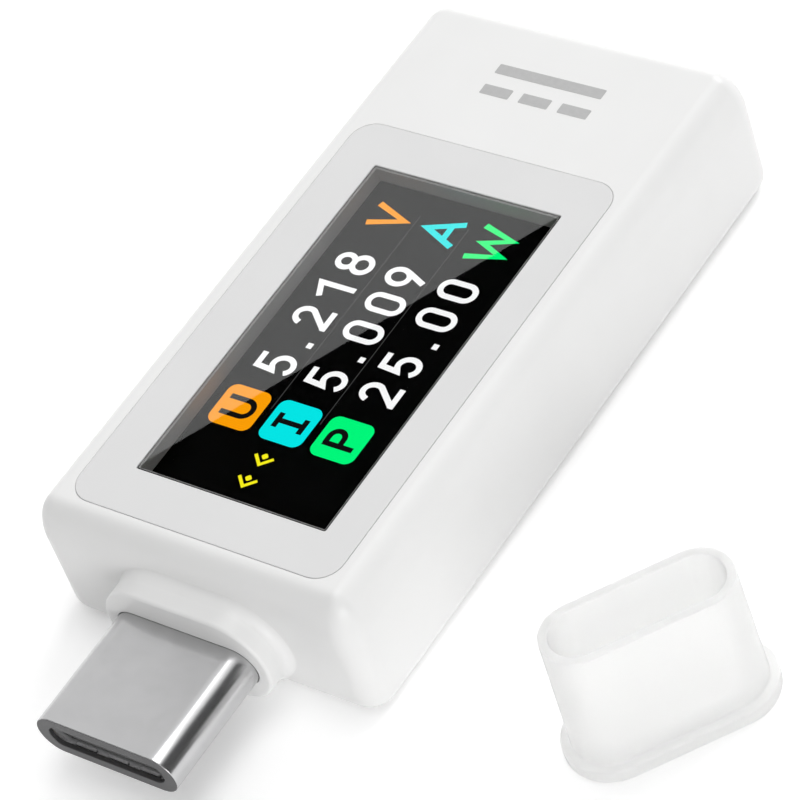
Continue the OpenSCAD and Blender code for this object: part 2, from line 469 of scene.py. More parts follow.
@dataclass(frozen=True)
class MouldedPlastic:
    """Injection-moulded plastic with a fine eroded grain.

    Attributes:
        name: Material name.
        colour: Base colour.
        rough: Mean roughness.
        grain_mm: Size of the grain.
        relief_mm: Height of the grain.
        body: How much light travels inside.
    """

    name: str
    colour: Colour
    rough: float
    grain_mm: float = 0.09
    relief_mm: float = 0.0012
    body: float = 0.12

    def make(self) -> bpy.types.Material:
        """Build a faint cloud of colour and wear, over grain and long flow ripples.

        Returns:
            The material.
        """
        n = Nodes(self.name)
        grain = n.bump(n.noise(self.grain_mm, 4.0, 0.6), self.relief_mm, 0.35)
        return n.surface({
            "Base Color": n.mottle(n.noise(6.0, 2.0), self.colour, 0.985, 1.01),
            "Roughness": n.span(n.noise(1.4), self.rough - 0.04, self.rough + 0.05),
            "Normal": n.bump(n.noise(9.0, 1.0), 0.002, 0.15, grain),
        }, Subsurface_Weight=self.body, Subsurface_Radius=(1.0, 0.95, 0.9),
            Subsurface_Scale=0.0006, IOR=1.5)


@dataclass(frozen=True)
class TranslucentCap:
    """Thin milky plastic that passes some light.

    Attributes:
        name: Material name.
        colour: Base colour.
        passing: Share of the light that goes through.
        glow: Painted light: a glow given off in place of what its thin wall scatters.
    """

    name: str
    colour: Colour
    passing: float = 0.6
    glow: float = 0.06

    def make(self) -> bpy.types.Material:
        """Build a cloudy body under a fine grain, with a faint painted glow.

        Returns:
            The material.
        """
        n = Nodes(self.name)
        return n.surface({
            "Base Color": n.mottle(n.noise(2.5, 2.0), self.colour, 0.985),
            "Roughness": n.span(n.noise(0.8), 0.40, 0.52),
            "Normal": n.bump(n.noise(0.07, 4.0, 0.6), 0.0014, 0.35),
        }, Subsurface_Weight=0.65, Subsurface_Radius=(1.0, 1.0, 1.0), Subsurface_Scale=0.0012,
            # Painted light: a faint white glow standing in for light scattered through the thin
            # wall.
            IOR=1.46, Transmission_Weight=self.passing, Emission_Color=(1, 1, 1, 1),
            Emission_Strength=self.glow)


@dataclass(frozen=True)
class DrawnSteel:
    """Deep-drawn steel with fine lines along its length.

    Attributes:
        name: Material name.
        colour: Reflected colour.
        rough: Mean roughness.
        along: Axis index the lines follow.
        spread: Anisotropy of the reflection.
    """

    name: str
    colour: Colour
    rough: float
    along: int = 1
    spread: float = 0.35

    def make(self) -> bpy.types.Material:
        """Build the drawn lines over faint scuffs.

        Returns:
            The material.
        """
        n = Nodes(self.name)
        stretch = [1.0, 1.0, 1.0]
        stretch[self.along] = 0.02
        lines = n.noise(0.03, 2.0, 0.5, stretch)
        scuff = n.bump(n.noise(0.5, 4.0), 0.0006, 0.1)
        return n.surface({
            "Base Color": n.mottle(n.noise(1.2), self.colour, 0.95),
            "Roughness": n.span(lines, self.rough - 0.015, self.rough + 0.02),
            "Normal": n.bump(lines, 0.0002, 0.08, scuff),
        }, Metallic=1.0, Anisotropic=self.spread)


@dataclass(frozen=True)
class GoldFlash:
    """Thin gold over nickel, on contacts."""

    name: str
    colour: Colour

    def make(self) -> bpy.types.Material:
        """Build uneven gold with the marks of the strip below it.

        Returns:
            The material.
        """
        n = Nodes(self.name)
        return n.surface({
            "Base Color": n.mottle(n.noise(0.4), self.colour, 0.86),
            "Roughness": n.span(n.noise(0.15), 0.18, 0.32),
            "Normal": n.bump(n.noise(0.05, 2.0), 0.0006, 0.3),
        }, Metallic=1.0)


@dataclass(frozen=True)
class ClearWindow:
    """Polished clear acrylic."""

    name: str

    def make(self) -> bpy.types.Material:
        """Build a clear body with a trace of haze.

        Returns:
            The material.
        """
        n = Nodes(self.name)
        return n.surface({"Roughness": n.span(n.noise(3.0, 2.0), 0.0, 0.006)},
                         Base_Color=(0.97, 0.98, 0.98, 1), Transmission_Weight=1.0, IOR=1.49)


@dataclass(frozen=True)
class BlackGlass:
    """Unlit display surface under its polariser."""

    name: str
    dark: Colour = (0.0010, 0.0010, 0.0012)
    light: Colour = (0.0018, 0.0018, 0.0020)

    def make(self) -> bpy.types.Material:
        """Build near black with hardly any reflection of its own.

        Returns:
            The material.
        """
        n = Nodes(self.name)
        return n.surface({
            "Base Color": n.tint(n.noise(2.0, 2.0), self.dark, self.light),
            "Roughness": n.span(n.noise(0.3, 2.0), 0.30, 0.38),
        }, IOR=1.06)


@dataclass(frozen=True)
class LitPixels:
    """Light from the display in one colour, with the faint weave of its dots.

    Attributes:
        name: Material name.
        colour: Colour of the light.
        strength: Its strength.
        dot_mm: Pitch of the dots.
    """

    name: str
    colour: Colour
    strength: float = 1.1
    dot_mm: float = 0.135

    def make(self) -> bpy.types.Material:
        """Build light that dips a little between the rows of dots.

        Returns:
            The material.
        """
        n = Nodes(self.name)
        bands_per_scale = 3.18
        wave = n.add("ShaderNodeTexWave", {"Vector": n.place()}, wave_type="BANDS",
                     bands_direction="Y", Scale=1.0 / (self.dot_mm * MM) / bands_per_scale)
        weave = n.span(wave.outputs["Fac"], self.strength * 0.97, self.strength, 0.0, 1.0)
        return n.surface({"Emission Strength": weave}, Base_Color=(0, 0, 0, 1), Roughness=0.6,
                         Specular_IOR_Level=0.0, Emission_Color=(*self.colour, 1))


@dataclass(frozen=True)
class PadPrint:
    """Thin printed ink on plastic."""

    name: str
    colour: Colour

    def make(self) -> bpy.types.Material:
        """Build ink with a slightly uneven lay-down.

        Returns:
            The material.
        """
        n = Nodes(self.name)
        return n.surface({
            "Base Color": n.mottle(n.noise(0.25, 4.0), self.colour, 0.96, 1.03),
            "Roughness": n.span(n.noise(0.2), 0.48, 0.6),
            "Normal": n.bump(n.noise(0.06), 0.001, 0.3),
        }, IOR=1.48)


@dataclass(frozen=True)
class PlainSolid:
    """Simple speckled finish for foam, ceramic, resin and film inside the case.

    Attributes:
        name: Material name.
        colour: Base colour.
        rough: Mean roughness.
        speck_mm: Size of the speckle.
        swing: How far the speckle darkens.
        metal: 1 for metal.
    """

    name: str
    colour: Colour
    rough: float
    speck_mm: float
    swing: float
    metal: float = 0.0

    def make(self) -> bpy.types.Material:
        """Build one speckle that drives colour, roughness and relief.

        Returns:
            The material.
        """
        n = Nodes(self.name)
        speck = n.noise(self.speck_mm, 4.0, 0.6)
        return n.surface({
            "Base Color": n.mottle(speck, self.colour, 1 - self.swing, 1.04),
            "Roughness": n.span(speck, self.rough - 0.08, min(1.0, self.rough + 0.08)),
            "Normal": n.bump(speck, 0.004, 0.4),
        }, Metallic=self.metal)


class Finish(Enum):
    """Every finish on the object."""

    CASE = MouldedPlastic("case_white", (0.775, 0.775, 0.771), 0.36, body=0.0)
    BEZEL = MouldedPlastic("bezel_white", (0.68, 0.68, 0.68), 0.38, 0.07, 0.0006, 0.05)
    CAP = TranslucentCap("cap_milky", (0.92, 0.92, 0.915))
    STEEL = DrawnSteel("plug_steel", (0.55, 0.55, 0.555), 0.22)
    SOCKET_STEEL = DrawnSteel("socket_steel", (0.60, 0.60, 0.61), 0.30)
    SPRING = DrawnSteel("spring_steel", (0.62, 0.62, 0.63), 0.22)
    GOLD = GoldFlash("contact_gold", (0.86, 0.62, 0.24))
    LENS = ClearWindow("window_clear")
    GASKET = PlainSolid("gasket_grey", (0.36, 0.35, 0.343), 0.75, 0.12, 0.08)
    GLASS = BlackGlass("display_black")
    PRINT = PadPrint("print_grey", (0.43, 0.43, 0.43))
    # Painted shade: the plug's drawn steel made far darker for the mouth's turned-in face.
    RIM_PAINTED_SHADE = DrawnSteel("plug_rim_painted_shade", (0.135, 0.135, 0.137), 0.5, 2, 0.0)
    # Painted light: the plug's insulator made pale grey, lighter than its own colour, to lift the
    # shade inside the plug's mouth.
    PLUG_CORE_PAINTED_LIGHT = MouldedPlastic("plug_core_painted_light", (0.72, 0.72, 0.725), 0.55, 0.05, 0.001, 0.0)
    # Painted light: the springs made as pale as the core, to lift the shade inside the plug's
    # mouth.
    PLUG_SPRING_PAINTED_LIGHT = PlainSolid("plug_spring_painted_light", (0.72, 0.72, 0.725), 0.5, 0.1, 0.1, 1.0)
    INSULATOR = MouldedPlastic("insulator_black", (0.030, 0.030, 0.032), 0.48, 0.05, 0.001, 0.0)
    FRAME = MouldedPlastic("frame_milk", (0.80, 0.81, 0.82), 0.45)
    GUIDE = MouldedPlastic("guide_clear", (0.85, 0.88, 0.90), 0.15, 0.3, 0.0005, 0.2)
    FLEX = PlainSolid("flex_amber", (0.52, 0.22, 0.03), 0.35, 0.3, 0.2)
    PAD = PlainSolid("pad_black", (0.02, 0.02, 0.02), 0.9, 0.08, 0.3)
    BOARD = PlainSolid("board_green", (0.01, 0.10, 0.045), 0.35, 0.5, 0.2)
    CHIP = PlainSolid("chip_black", (0.022, 0.022, 0.024), 0.55, 0.05, 0.25)
    CERAMIC = PlainSolid("ceramic_tan", (0.42, 0.28, 0.17), 0.4, 0.1, 0.15)
    RESISTOR = PlainSolid("resistor_black", (0.03, 0.03, 0.033), 0.3, 0.1, 0.2)
    WHITE_PIXELS = LitPixels("pixels_white", linear("FDFDFD"))
    ORANGE_PIXELS = LitPixels("pixels_orange", linear("FFA008"))
    CYAN_PIXELS = LitPixels("pixels_cyan", linear("05E8E8"))
    GREEN_PIXELS = LitPixels("pixels_green", linear("02FA7C"))
    YELLOW_PIXELS = LitPixels("pixels_yellow", linear("FBF01E"))
    DARK_PIXELS = LitPixels("pixels_dark", linear("101010"))
    DIM_PIXELS = LitPixels("pixels_dim", linear("3A3A3A"))

    def material(self) -> bpy.types.Material:
        """Make the finish's material the first time, and share it after that.

        Returns:
            The material.
        """
        if self not in MADE:
            MADE[self] = self.value.make()
        return MADE[self]


MADE: dict[Finish, bpy.types.Material] = {}


def dress(obj: bpy.types.Object, finish: Finish) -> None:
    """Give an object one finish on every slot.

    Args:
        obj: Mesh object.
        finish: Its finish.
    """
    material = finish.material()
    if not obj.data.materials:
        obj.data.materials.append(material)
    for slot in obj.material_slots:
        slot.material = material


def hand_over(obj: bpy.types.Object, finish: Finish, body: str, slot: str,
              *nodes: str) -> None:
    """Dress a finished piece, attach it to its body and log it.

    Args:
        obj: The finished piece.
        finish: Its finish.
        body: Body it rides on.
        slot: Record slot for its finish; not used.
        nodes: CAD nodes it stands for.
    """
    dress(obj, finish)
    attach(obj, body)
    if nodes:
        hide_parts(*nodes)
    LOG.info("%s: %d faces on %s", obj.name, len(obj.data.polygons), body)


# ---------------------------------------------------------------- case

@dataclass
class RearCover:
    """Inset rear cover with its board rests, snap hooks and ribs. Millimetres.

    Attributes:
        inner: Inside size of the case in plan.
        thick: Plate thickness.
        fit: Gap to the case on each side.
        ease: Eased edge at the back face.
        corner: Corner radius.
        root: Height inside the plate where what stands on it starts.
        rest: Size of a board rest.
        rest_in: How far the rests stand in from the case's inner walls.
        arm: Half size of a hook's arm.
        arm_in: How far the arms stand in from the side walls.
        arm_top: Top of the arms.
        nose: Half width of a hook's nose.
        nose_z: Lowest and highest height of the noses.
        hook_y: Distance of the hooks from the middle.
        rib: Half size of a rib.
        rib_y: Distance of the ribs from the middle.
        rib_top: Top of the ribs.
    """

    inner: Point2
    thick: float = 1.0
    fit: float = 0.08
    ease: float = 0.12
    corner: float = 0.5
    root: float = 0.9
    rest: Point2 = (1.3, 1.29)
    rest_in: Point2 = (0.75, 1.3)
    arm: Point2 = (0.3, 1.4)
    arm_in: float = 0.4
    arm_top: float = 2.05
    nose: float = 0.15
    nose_z: Point2 = (1.55, 1.85)
    hook_y: float = 8.5
    rib: Point2 = (5.3, 0.3)
    rib_y: float = 10.2
    rib_top: float = 1.35

    def build(self) -> bpy.types.Object:
        """Build the cover.

        Returns:
            The cover.
        """
        top = box_mm("rear_cover")[1].z - 0.02
        size = grown(self.inner, -self.fit)
        part = Shell()
        rings = []
        for up, inset in quarter(4):
            gap = self.ease * (1 - up)
            rings.append(lift(rounded_rect(*grown(size, -gap), self.corner - gap),
                              self.ease * inset))
        rings.append(lift(rounded_rect(*size, self.corner), self.thick))
        part.loft(rings)
        wall_x, wall_y = self.inner[0] / 2, self.inner[1] / 2
        for sx in (-1, 1):
            for sy in (-1, 1):
                rest_at = sx * (wall_x - self.rest_in[0]), sy * (wall_y - self.rest_in[1])
                part.loft([lift(stadium(*self.rest, 8), z, rest_at) for z in (self.root, top)])
                hook_y = sy * self.hook_y
                part.bar((sx * (wall_x - self.arm_in), hook_y), self.arm, self.root,
                         self.arm_top, 0.08)
                part.bar((sx * (wall_x - 0.02), hook_y), (self.nose, self.arm[1]),
                         *self.nose_z, 0.08)
        for sy in (-1, 1):
            part.bar((0.0, sy * self.rib_y), self.rib, self.root, self.rib_top, 0.06)
        return part.build("rear_cover_plate")


@dataclass
class Case:
    """Front case with its boss, closed by the rear cover. Millimetres.

    Attributes:
        panel: Size of the inlaid bezel panel.
        window: Size of the window.
        edge_in: How far the top edge's curve reaches inwards.
        edge_down: How far it reaches down the sides.
        corner: Radius of the two upright corners at the socket end.
        near_corner: Radius of the two at the plug end.
        foot: Eased edge at the back face.
        wall: Wall thickness.
        roof_t: Thickness over the hollow.
        hollow_corner: Corner radius of the hollow.
        groove: Width of the groove round the panel.
        pocket_corner: Corner radius of the panel's pocket.
        pocket_ease: Eased edge of the pocket.
        well: How much wider than the window the opening under it is.
        well_corner: Corner radius of that opening.
        boss: Size of the boss.
        boss_up: How far the boss's middle lies above the plug's.
        boss_ease: Radius of the boss's front edge.
        flare: Length along the plug over which the boss spreads.
        spread: How far the boss spreads at its foot, above.
        spread_less: How much less it spreads on the left.
        spread_more: How much more it spreads on the right.
        spread_under: How far it spreads below.
        sink: How deep the boss goes into the end face.
        bite: Overlap of its foot with the end face.
        plug: Outer size of the plug shell.
        plug_gap: Play round the plug, in all.
        plug_lip: Radius of the edge round the plug.
        plug_way: How much wider than the plug its way through the end wall is.
        socket: Outer size of the socket shell.
        socket_gap: Play round the socket on each side.
        socket_ease: Radius of the edge round the socket.
    """

    panel: Point2
    window: Point2
    edge_in: float = 1.35
    edge_down: float = 2.4
    corner: float = 1.5
    near_corner: float = 1.36
    foot: float = 0.9
    wall: float = 1.2
    roof_t: float = 1.0
    hollow_corner: float = 0.6
    groove: float = 0.017
    pocket_corner: float = 1.317
    pocket_ease: float = 0.03
    well: float = 0.85
    well_corner: float = 0.5
    boss: Point2 = (9.67, 5.3)
    boss_up: float = 0.1
    boss_ease: float = 0.2
    flare: float = 0.6
    spread: float = 0.4
    spread_less: float = 0.3
    spread_more: float = 0.2
    spread_under: float = 0.33
    sink: float = 0.9
    bite: float = 0.02
    plug: Point2 = (8.25, 2.4)
    plug_gap: float = 0.05
    plug_lip: float = 0.03
    plug_way: float = 0.45
    socket: Point2 = (8.94, 3.26)
    socket_gap: float = 0.08
    socket_ease: float = 0.22

    def __post_init__(self) -> None:
        """Read the places that the CAD frame fixes."""
        low, high = box_mm("front_case")
        self.width = high.x - low.x
        self.thick = high.z
        self.end = high.y
        self.boss_y = low.y
        self.inner = (self.width - 2 * self.wall, 2 * (self.end - self.wall))
        self.roof = self.thick - self.roof_t
        shell_low, shell_high = box_mm("plug_shell")
        self.axis_z = (shell_low.z + shell_high.z) / 2
        self.boss_z = self.axis_z + self.boss_up
        panel_low, panel_high = box_mm("display_panel")
        self.panel_y = middle(panel_low, panel_high)[1]
        self.panel_z = panel_low.z
        self.window_at = middle(*box_mm("window_lens"))

    def end_face(self, z: float) -> float:
        """Distance of the end face from the middle at height z."""
        rise = max(0.0, min(1.0, (z - (self.thick - self.edge_down)) / self.edge_down))
        return self.end - self.edge_in * (1 - math.sqrt(max(0.0, 1 - rise * rise)))

    def outline(self, gap: float) -> list[Point2]:
        """Outline of the case in plan, with tighter corners at the plug end.

        Args:
            gap: How far it is drawn in.

        Returns:
            Points in the order of rounded_rect.
        """
        change = self.corner - self.near_corner
        scale = (self.near_corner - gap) / (self.corner - gap)
        out = []
        for x, y in rounded_rect(self.width - 2 * gap, 2 * (self.end - gap), self.corner - gap):
            if y < 0:
                cx = math.copysign(self.width / 2 - self.corner, x)
                cy = -(self.end - self.corner)
                x = cx + math.copysign(change, x) + (x - cx) * scale
                y = cy - change + (y - cy) * scale
            out.append((x, y))
        return out

    def body_rings(self) -> list[Ring]:
        """Rings of the outer skin from the back face to the display face.

        Returns:
            The rings.
        """
        rings = [lift(self.outline(self.foot * (1 - up)), self.foot * inset)
                 for up, inset in quarter(5)]
        rings += [lift(self.outline(self.edge_in * inset),
                       self.thick - self.edge_down + self.edge_down * up)
                  for up, inset in quarter(20)]
        return rings

    def boss_rings(self) -> list[Ring]:
        """Rings of the boss, from inside its slot, over its face, out to its flared foot.

        Returns:
            The rings, to be closed into a loop.
        """
        hole = grown(self.plug, self.plug_gap / 2)
        rings = [stand(stadium(*hole), -self.end + self.sink, self.axis_z)]
        rings += [stand(stadium(*grown(hole, self.plug_lip * inset)),
                        self.boss_y + self.plug_lip * (1 - up), self.axis_z)
                  for up, inset in quarter(4)]
        rings += [stand(stadium(*grown(self.boss, -self.boss_ease * (1 - up))),
                        self.boss_y + self.boss_ease * inset, self.boss_z)
                  for up, inset in quarter(6)]
        rings += [self.flare_ring(up, inset) for up, inset in quarter(18)]
        rings.append([Vector((p.x, -self.end + self.sink, p.z)) for p in rings[-1]])
        return rings

    def flare_ring(self, along: float, out: float) -> Ring:
        """One ring of the hollow curve that joins the boss to the end face.

        Args:
            along: How far it is along the flare, from 0 to 1.
            out: How far it is spread, from 0 to 1.

        Returns:
            The ring.
        """
        turn_start, turn_width, lowest = 0.2, 0.6, 0.02
        face = stadium(*self.boss)
        ring = []
        for (x, v), (nx, nz) in zip(face, self.outward(face)):
            room = (self.spread - self.spread_less * max(0.0, -nx)
                    + self.spread_more * max(0.0, nx))
            if nz < -turn_start:
                room += (self.spread_under - room) * min(1.0, (-nz - turn_start) / turn_width)
            z = max(lowest, self.boss_z + v + nz * room * out)
            foot = -self.end_face(z) + self.bite
            ring.append(Vector((x + nx * room * out, foot - self.flare * (1 - along), z)))
        return ring

    @staticmethod
    def outward(outline: Sequence[Point2]) -> list[Point2]:
        """Unit outward direction at each point of an anticlockwise outline.

        Args:
            outline: The points.

        Returns:
            One direction for each.
        """
        out = []
        count = len(outline)
        for i in range(count):
            (ax, ay), (bx, by) = outline[i - 1], outline[(i + 1) % count]
            tx, ty = bx - ax, by - ay
            size = math.hypot(tx, ty)
            out.append((ty / size, -tx / size))
        return out

    @staticmethod
    def prism(name: str, size: Point2, radius: float, low: float, high: float,
              at: Point2 = (0.0, 0.0), ease: float = 0.0) -> bpy.types.Object:
        """Upright cutter that widens at its top to ease the edge it leaves.

        Args:
            name: Cutter name.
            size: Size in plan.
            radius: Corner radius.
            low: Lowest height.
            high: Height of the surface it breaks through.
            at: Centre.
            ease: Width of the eased edge.

        Returns:
            The cutter.
        """
        flat = rounded_rect(*size, radius)
        rings = [lift(flat, low, at), lift(flat, high - ease, at)]
        if ease > 0:
            wide = rounded_rect(*grown(size, 2 * ease), radius + 2 * ease)
            rings.append(lift(wide, high + ease, at))
        part = Shell()
        part.loft(rings)
        return part.build(name, weighted=False)

    def slot_cutter(self, name: str, size: Point2, start: float, stop: float,
                    ease: float = 0.0) -> bpy.types.Object:
        """Slot-shaped cutter along Y whose outer end widens to ease the mouth.

        Args:
            name: Cutter name.
            size: Width and height.
            start: Y of its inner end.
            stop: Y of the face it breaks through.
            ease: Radius of the eased edge.

        Returns:
            The cutter.
        """
        rings = [stand(stadium(*size), start, self.axis_z)]
        if ease > 0:
            rings += [stand(stadium(*grown(size, ease * inset)), stop - ease * (1 - up),
                            self.axis_z) for up, inset in quarter(5)]
            rings.append(stand(stadium(*grown(size, ease)), stop + 1.0, self.axis_z))
        else:
            rings.append(stand(stadium(*size), stop, self.axis_z))
        part = Shell()
        part.loft(rings)
        return part.build(name, weighted=False)

    def build_front(self) -> bpy.types.Object:
        """Build the front case: skin, hollow, pocket, openings and boss.

        Returns:
            The case.
        """
        skin = Shell()
        skin.loft(self.body_rings())
        body = skin.build("front_case_skin", weighted=False)
        past, through = 1.0, 3.0
        carve(body, [
            self.prism("hollow", self.inner, self.hollow_corner, -past, self.roof),
            self.prism("pocket", grown(self.panel, self.groove), self.pocket_corner,
                       self.panel_z - 0.01, self.thick, (0.0, self.panel_y),
                       self.pocket_ease),
            self.prism("light_well", grown(self.window, self.well), self.well_corner,
                       self.roof - past, self.panel_z + 0.3, self.window_at),
            self.slot_cutter("socket_mouth", grown(self.socket, self.socket_gap),
                             self.end - through, self.end, self.socket_ease),
            self.slot_cutter("plug_way", grown(self.plug, self.plug_way), -self.end - 0.6,
                             -self.end + through),
        ])
        smooth(body)
        boss = Shell()
        boss.loft(self.boss_rings(), closed=True)
        return merge("front_case_shell", [body, boss.build("boss")])

    def make(self) -> None:
        """Build and dress the case."""
        hand_over(self.build_front(), Finish.CASE, "meter", "white_shell", "front_case")
        hand_over(RearCover(self.inner).build(), Finish.CASE, "meter", "white_shell",
                  "rear_cover")


@dataclass
class PrintedSign:
    """Generic direct-current sign printed near the far end. Millimetres.

    Attributes:
        width: Length of the bar.
        stroke: Width of the strokes.
        rise: Distance from the bar to the dashes.
        gap: Gap between dashes.
        dashes: How many dashes.
        at: Centre of the sign.
        ink: Height of the ink over the face.
    """

    width: float = 6.4
    stroke: float = 0.66
    rise: float = 1.5
    gap: float = 0.62
    dashes: int = 3
    at: Point2 = (0.25, 13.85)
    ink: float = 0.012

    def make(self, top: float) -> None:
        """Build the sign: one solid bar over three dashes.

        Args:
            top: Height of the display face.
        """
        part = Shell()
        half = self.width / 2
        strokes = [(-half, half, self.rise / 2)]
        dash = (self.width - (self.dashes - 1) * self.gap) / self.dashes
        for i in range(self.dashes):
            left = -half + i * (dash + self.gap)
            strokes.append((left, left + dash, -self.rise / 2))
        for left, right, up in strokes:
            outline = rounded_rect(right - left, self.stroke, 0.06, 3)
            centre = (self.at[0] + (left + right) / 2, self.at[1] + up)
            part.loft([lift(outline, top - 0.01, centre), lift(outline, top + self.ink, centre)])
        hand_over(part.build("printed_sign", weighted=False), Finish.PRINT, "meter", "bezel_white")


# ---------------------------------------------------------------- display

@dataclass
class DisplayFront:
    """Inlaid bezel panel and the clear window. Millimetres.

    Attributes:
        panel: Size of the panel.
        panel_corner: Its corner radius.
        window: Size of the window opening.
        window_corner: Its corner radius.
        ease: Eased edge of the panel.
        lens_ease: Eased edge of the window.
        lens_corner: Corner radius of the window.
        lens_sink: How far the window lies below its CAD top.
    """

    panel: Point2 = (15.6, 26.4)
    panel_corner: float = 1.3
    window: Point2 = (11.2, 21.2)
    window_corner: float = 0.1
    ease: float = 0.04
    lens_ease: float = 0.015
    lens_corner: float = 0.08
    lens_sink: float = 0.01

    def build_panel(self) -> bpy.types.Object:
        """Build the bezel panel: a flat frame with eased edges.

        Returns:
            The panel.
        """
        low, high = box_mm("display_panel")
        mid = (0.0, middle(low, high)[1])
        view = middle(*box_mm("window_lens"))

        def outer(gap: float, z: float) -> Ring:
            """Outer outline drawn in by gap."""
            return lift(rounded_rect(*grown(self.panel, -gap), self.panel_corner - gap), z, mid)

        def inner(gap: float, z: float) -> Ring:
            """Window outline opened by gap."""
            return lift(rounded_rect(*grown(self.window, gap), self.window_corner + gap), z, view)

        edge = [(0, self.ease), (self.ease * 0.3, self.ease * 0.3), (self.ease, 0)]
        part = Shell()
        part.loft([outer(0, low.z)] + [outer(gap, high.z - drop) for gap, drop in edge]
                  + [inner(gap, high.z - drop) for gap, drop in reversed(edge)]
                  + [inner(0, low.z)], closed=True)
        return part.build("bezel_panel", 12.0)

    def build_lens(self) -> bpy.types.Object:
        """Build the window: a thin slab with eased edges.

        Returns:
            The window.
        """
        low, high = box_mm("window_lens")
        top, e = high.z - self.lens_sink, self.lens_ease
        size = (high.x - low.x, high.y - low.y)
        full = rounded_rect(*size, self.lens_corner, 4)
        less = rounded_rect(*grown(size, -e), 0.06, 4)
        part = Shell()
        part.loft([lift(flat, z, middle(low, high)) for flat, z in (
            (less, low.z), (full, low.z + e), (full, top - e), (less, top))])
        return part.build("window_slab", 12.0)

    def make(self) -> None:
        """Build and dress both."""
        hand_over(self.build_panel(), Finish.BEZEL, "meter", "bezel_white", "display_panel")
        hand_over(self.build_lens(), Finish.LENS, "meter", "lens_clear", "window_lens")


class Stroke:
    """Draws flat, even-width strokes as thin solids, in millimetres.

    Attributes:
        SHARPEST: Lowest share of a mitre's length, which keeps sharp bends short.
    """

    SHARPEST: ClassVar[float] = 0.42

    def __init__(self, place: Callable[[float, float], Point2], z: float, thick: float) -> None:
        """Keep where the strokes go.

        Args:
            place: Maps text coordinates (along, up) to the frame's X and Y.
            z: Height of the underside.
            thick: Thickness of the solid.
        """
        self.place, self.z, self.thick = place, z, thick
        self.part = Shell()

    def line(self, points: Sequence[Point2], width: float, closed: bool = False) -> None:
        """Add one stroke along points, with mitred bends and flat ends.

        Args:
            points: Middle of the stroke.
            width: Its width.
            closed: Join its end to its start.
        """
        count = len(points)
        rings = []
        for i, (u, v) in enumerate(points):
            before = points[i - 1] if i > 0 or closed else None
            after = points[(i + 1) % count] if i < count - 1 or closed else None
            ways = []
            for p, q in ((before, (u, v)), ((u, v), after)):
                if p is not None and q is not None:
                    size = math.hypot(q[0] - p[0], q[1] - p[1]) or 1.0
                    ways.append(((q[0] - p[0]) / size, (q[1] - p[1]) / size))
            nu = -sum(w[1] for w in ways)
            nv = sum(w[0] for w in ways)
            size = math.hypot(nu, nv) or 1.0
            nu, nv = nu / size, nv / size
            bend = max(self.SHARPEST, abs(-ways[0][1] * nu + ways[0][0] * nv))
            reach = width / 2 / bend
            ax, ay = self.place(u + nu * reach, v + nv * reach)
            bx, by = self.place(u - nu * reach, v - nv * reach)
            top = self.z + self.thick
            rings.append([Vector((ax, ay, self.z)), Vector((bx, by, self.z)),
                          Vector((bx, by, top)), Vector((ax, ay, top))])
        self.part.loft(rings, closed=closed)

    def patch(self, outline: Sequence[Point2]) -> None:
        """Add a filled flat shape."""
        flat = [self.place(u, v) for u, v in outline]
        self.part.loft([lift(flat, self.z), lift(flat, self.z + self.thick)])


def arc(centre: Point2, radii: Point2, start: float, stop: float, steps: int = 14) -> list[Point2]:
    """Points on part of an ellipse.

    Args:
        centre: Its centre.
        radii: Its radii along and up.
        start: First angle in degrees.
        stop: Last angle in degrees.
        steps: Segments.

    Returns:
        steps + 1 points.
    """
    angles = [math.radians(start + (stop - start) * i / steps) for i in range(steps + 1)]
    return [(centre[0] + radii[0] * math.cos(a), centre[1] + radii[1] * math.sin(a))
            for a in angles]


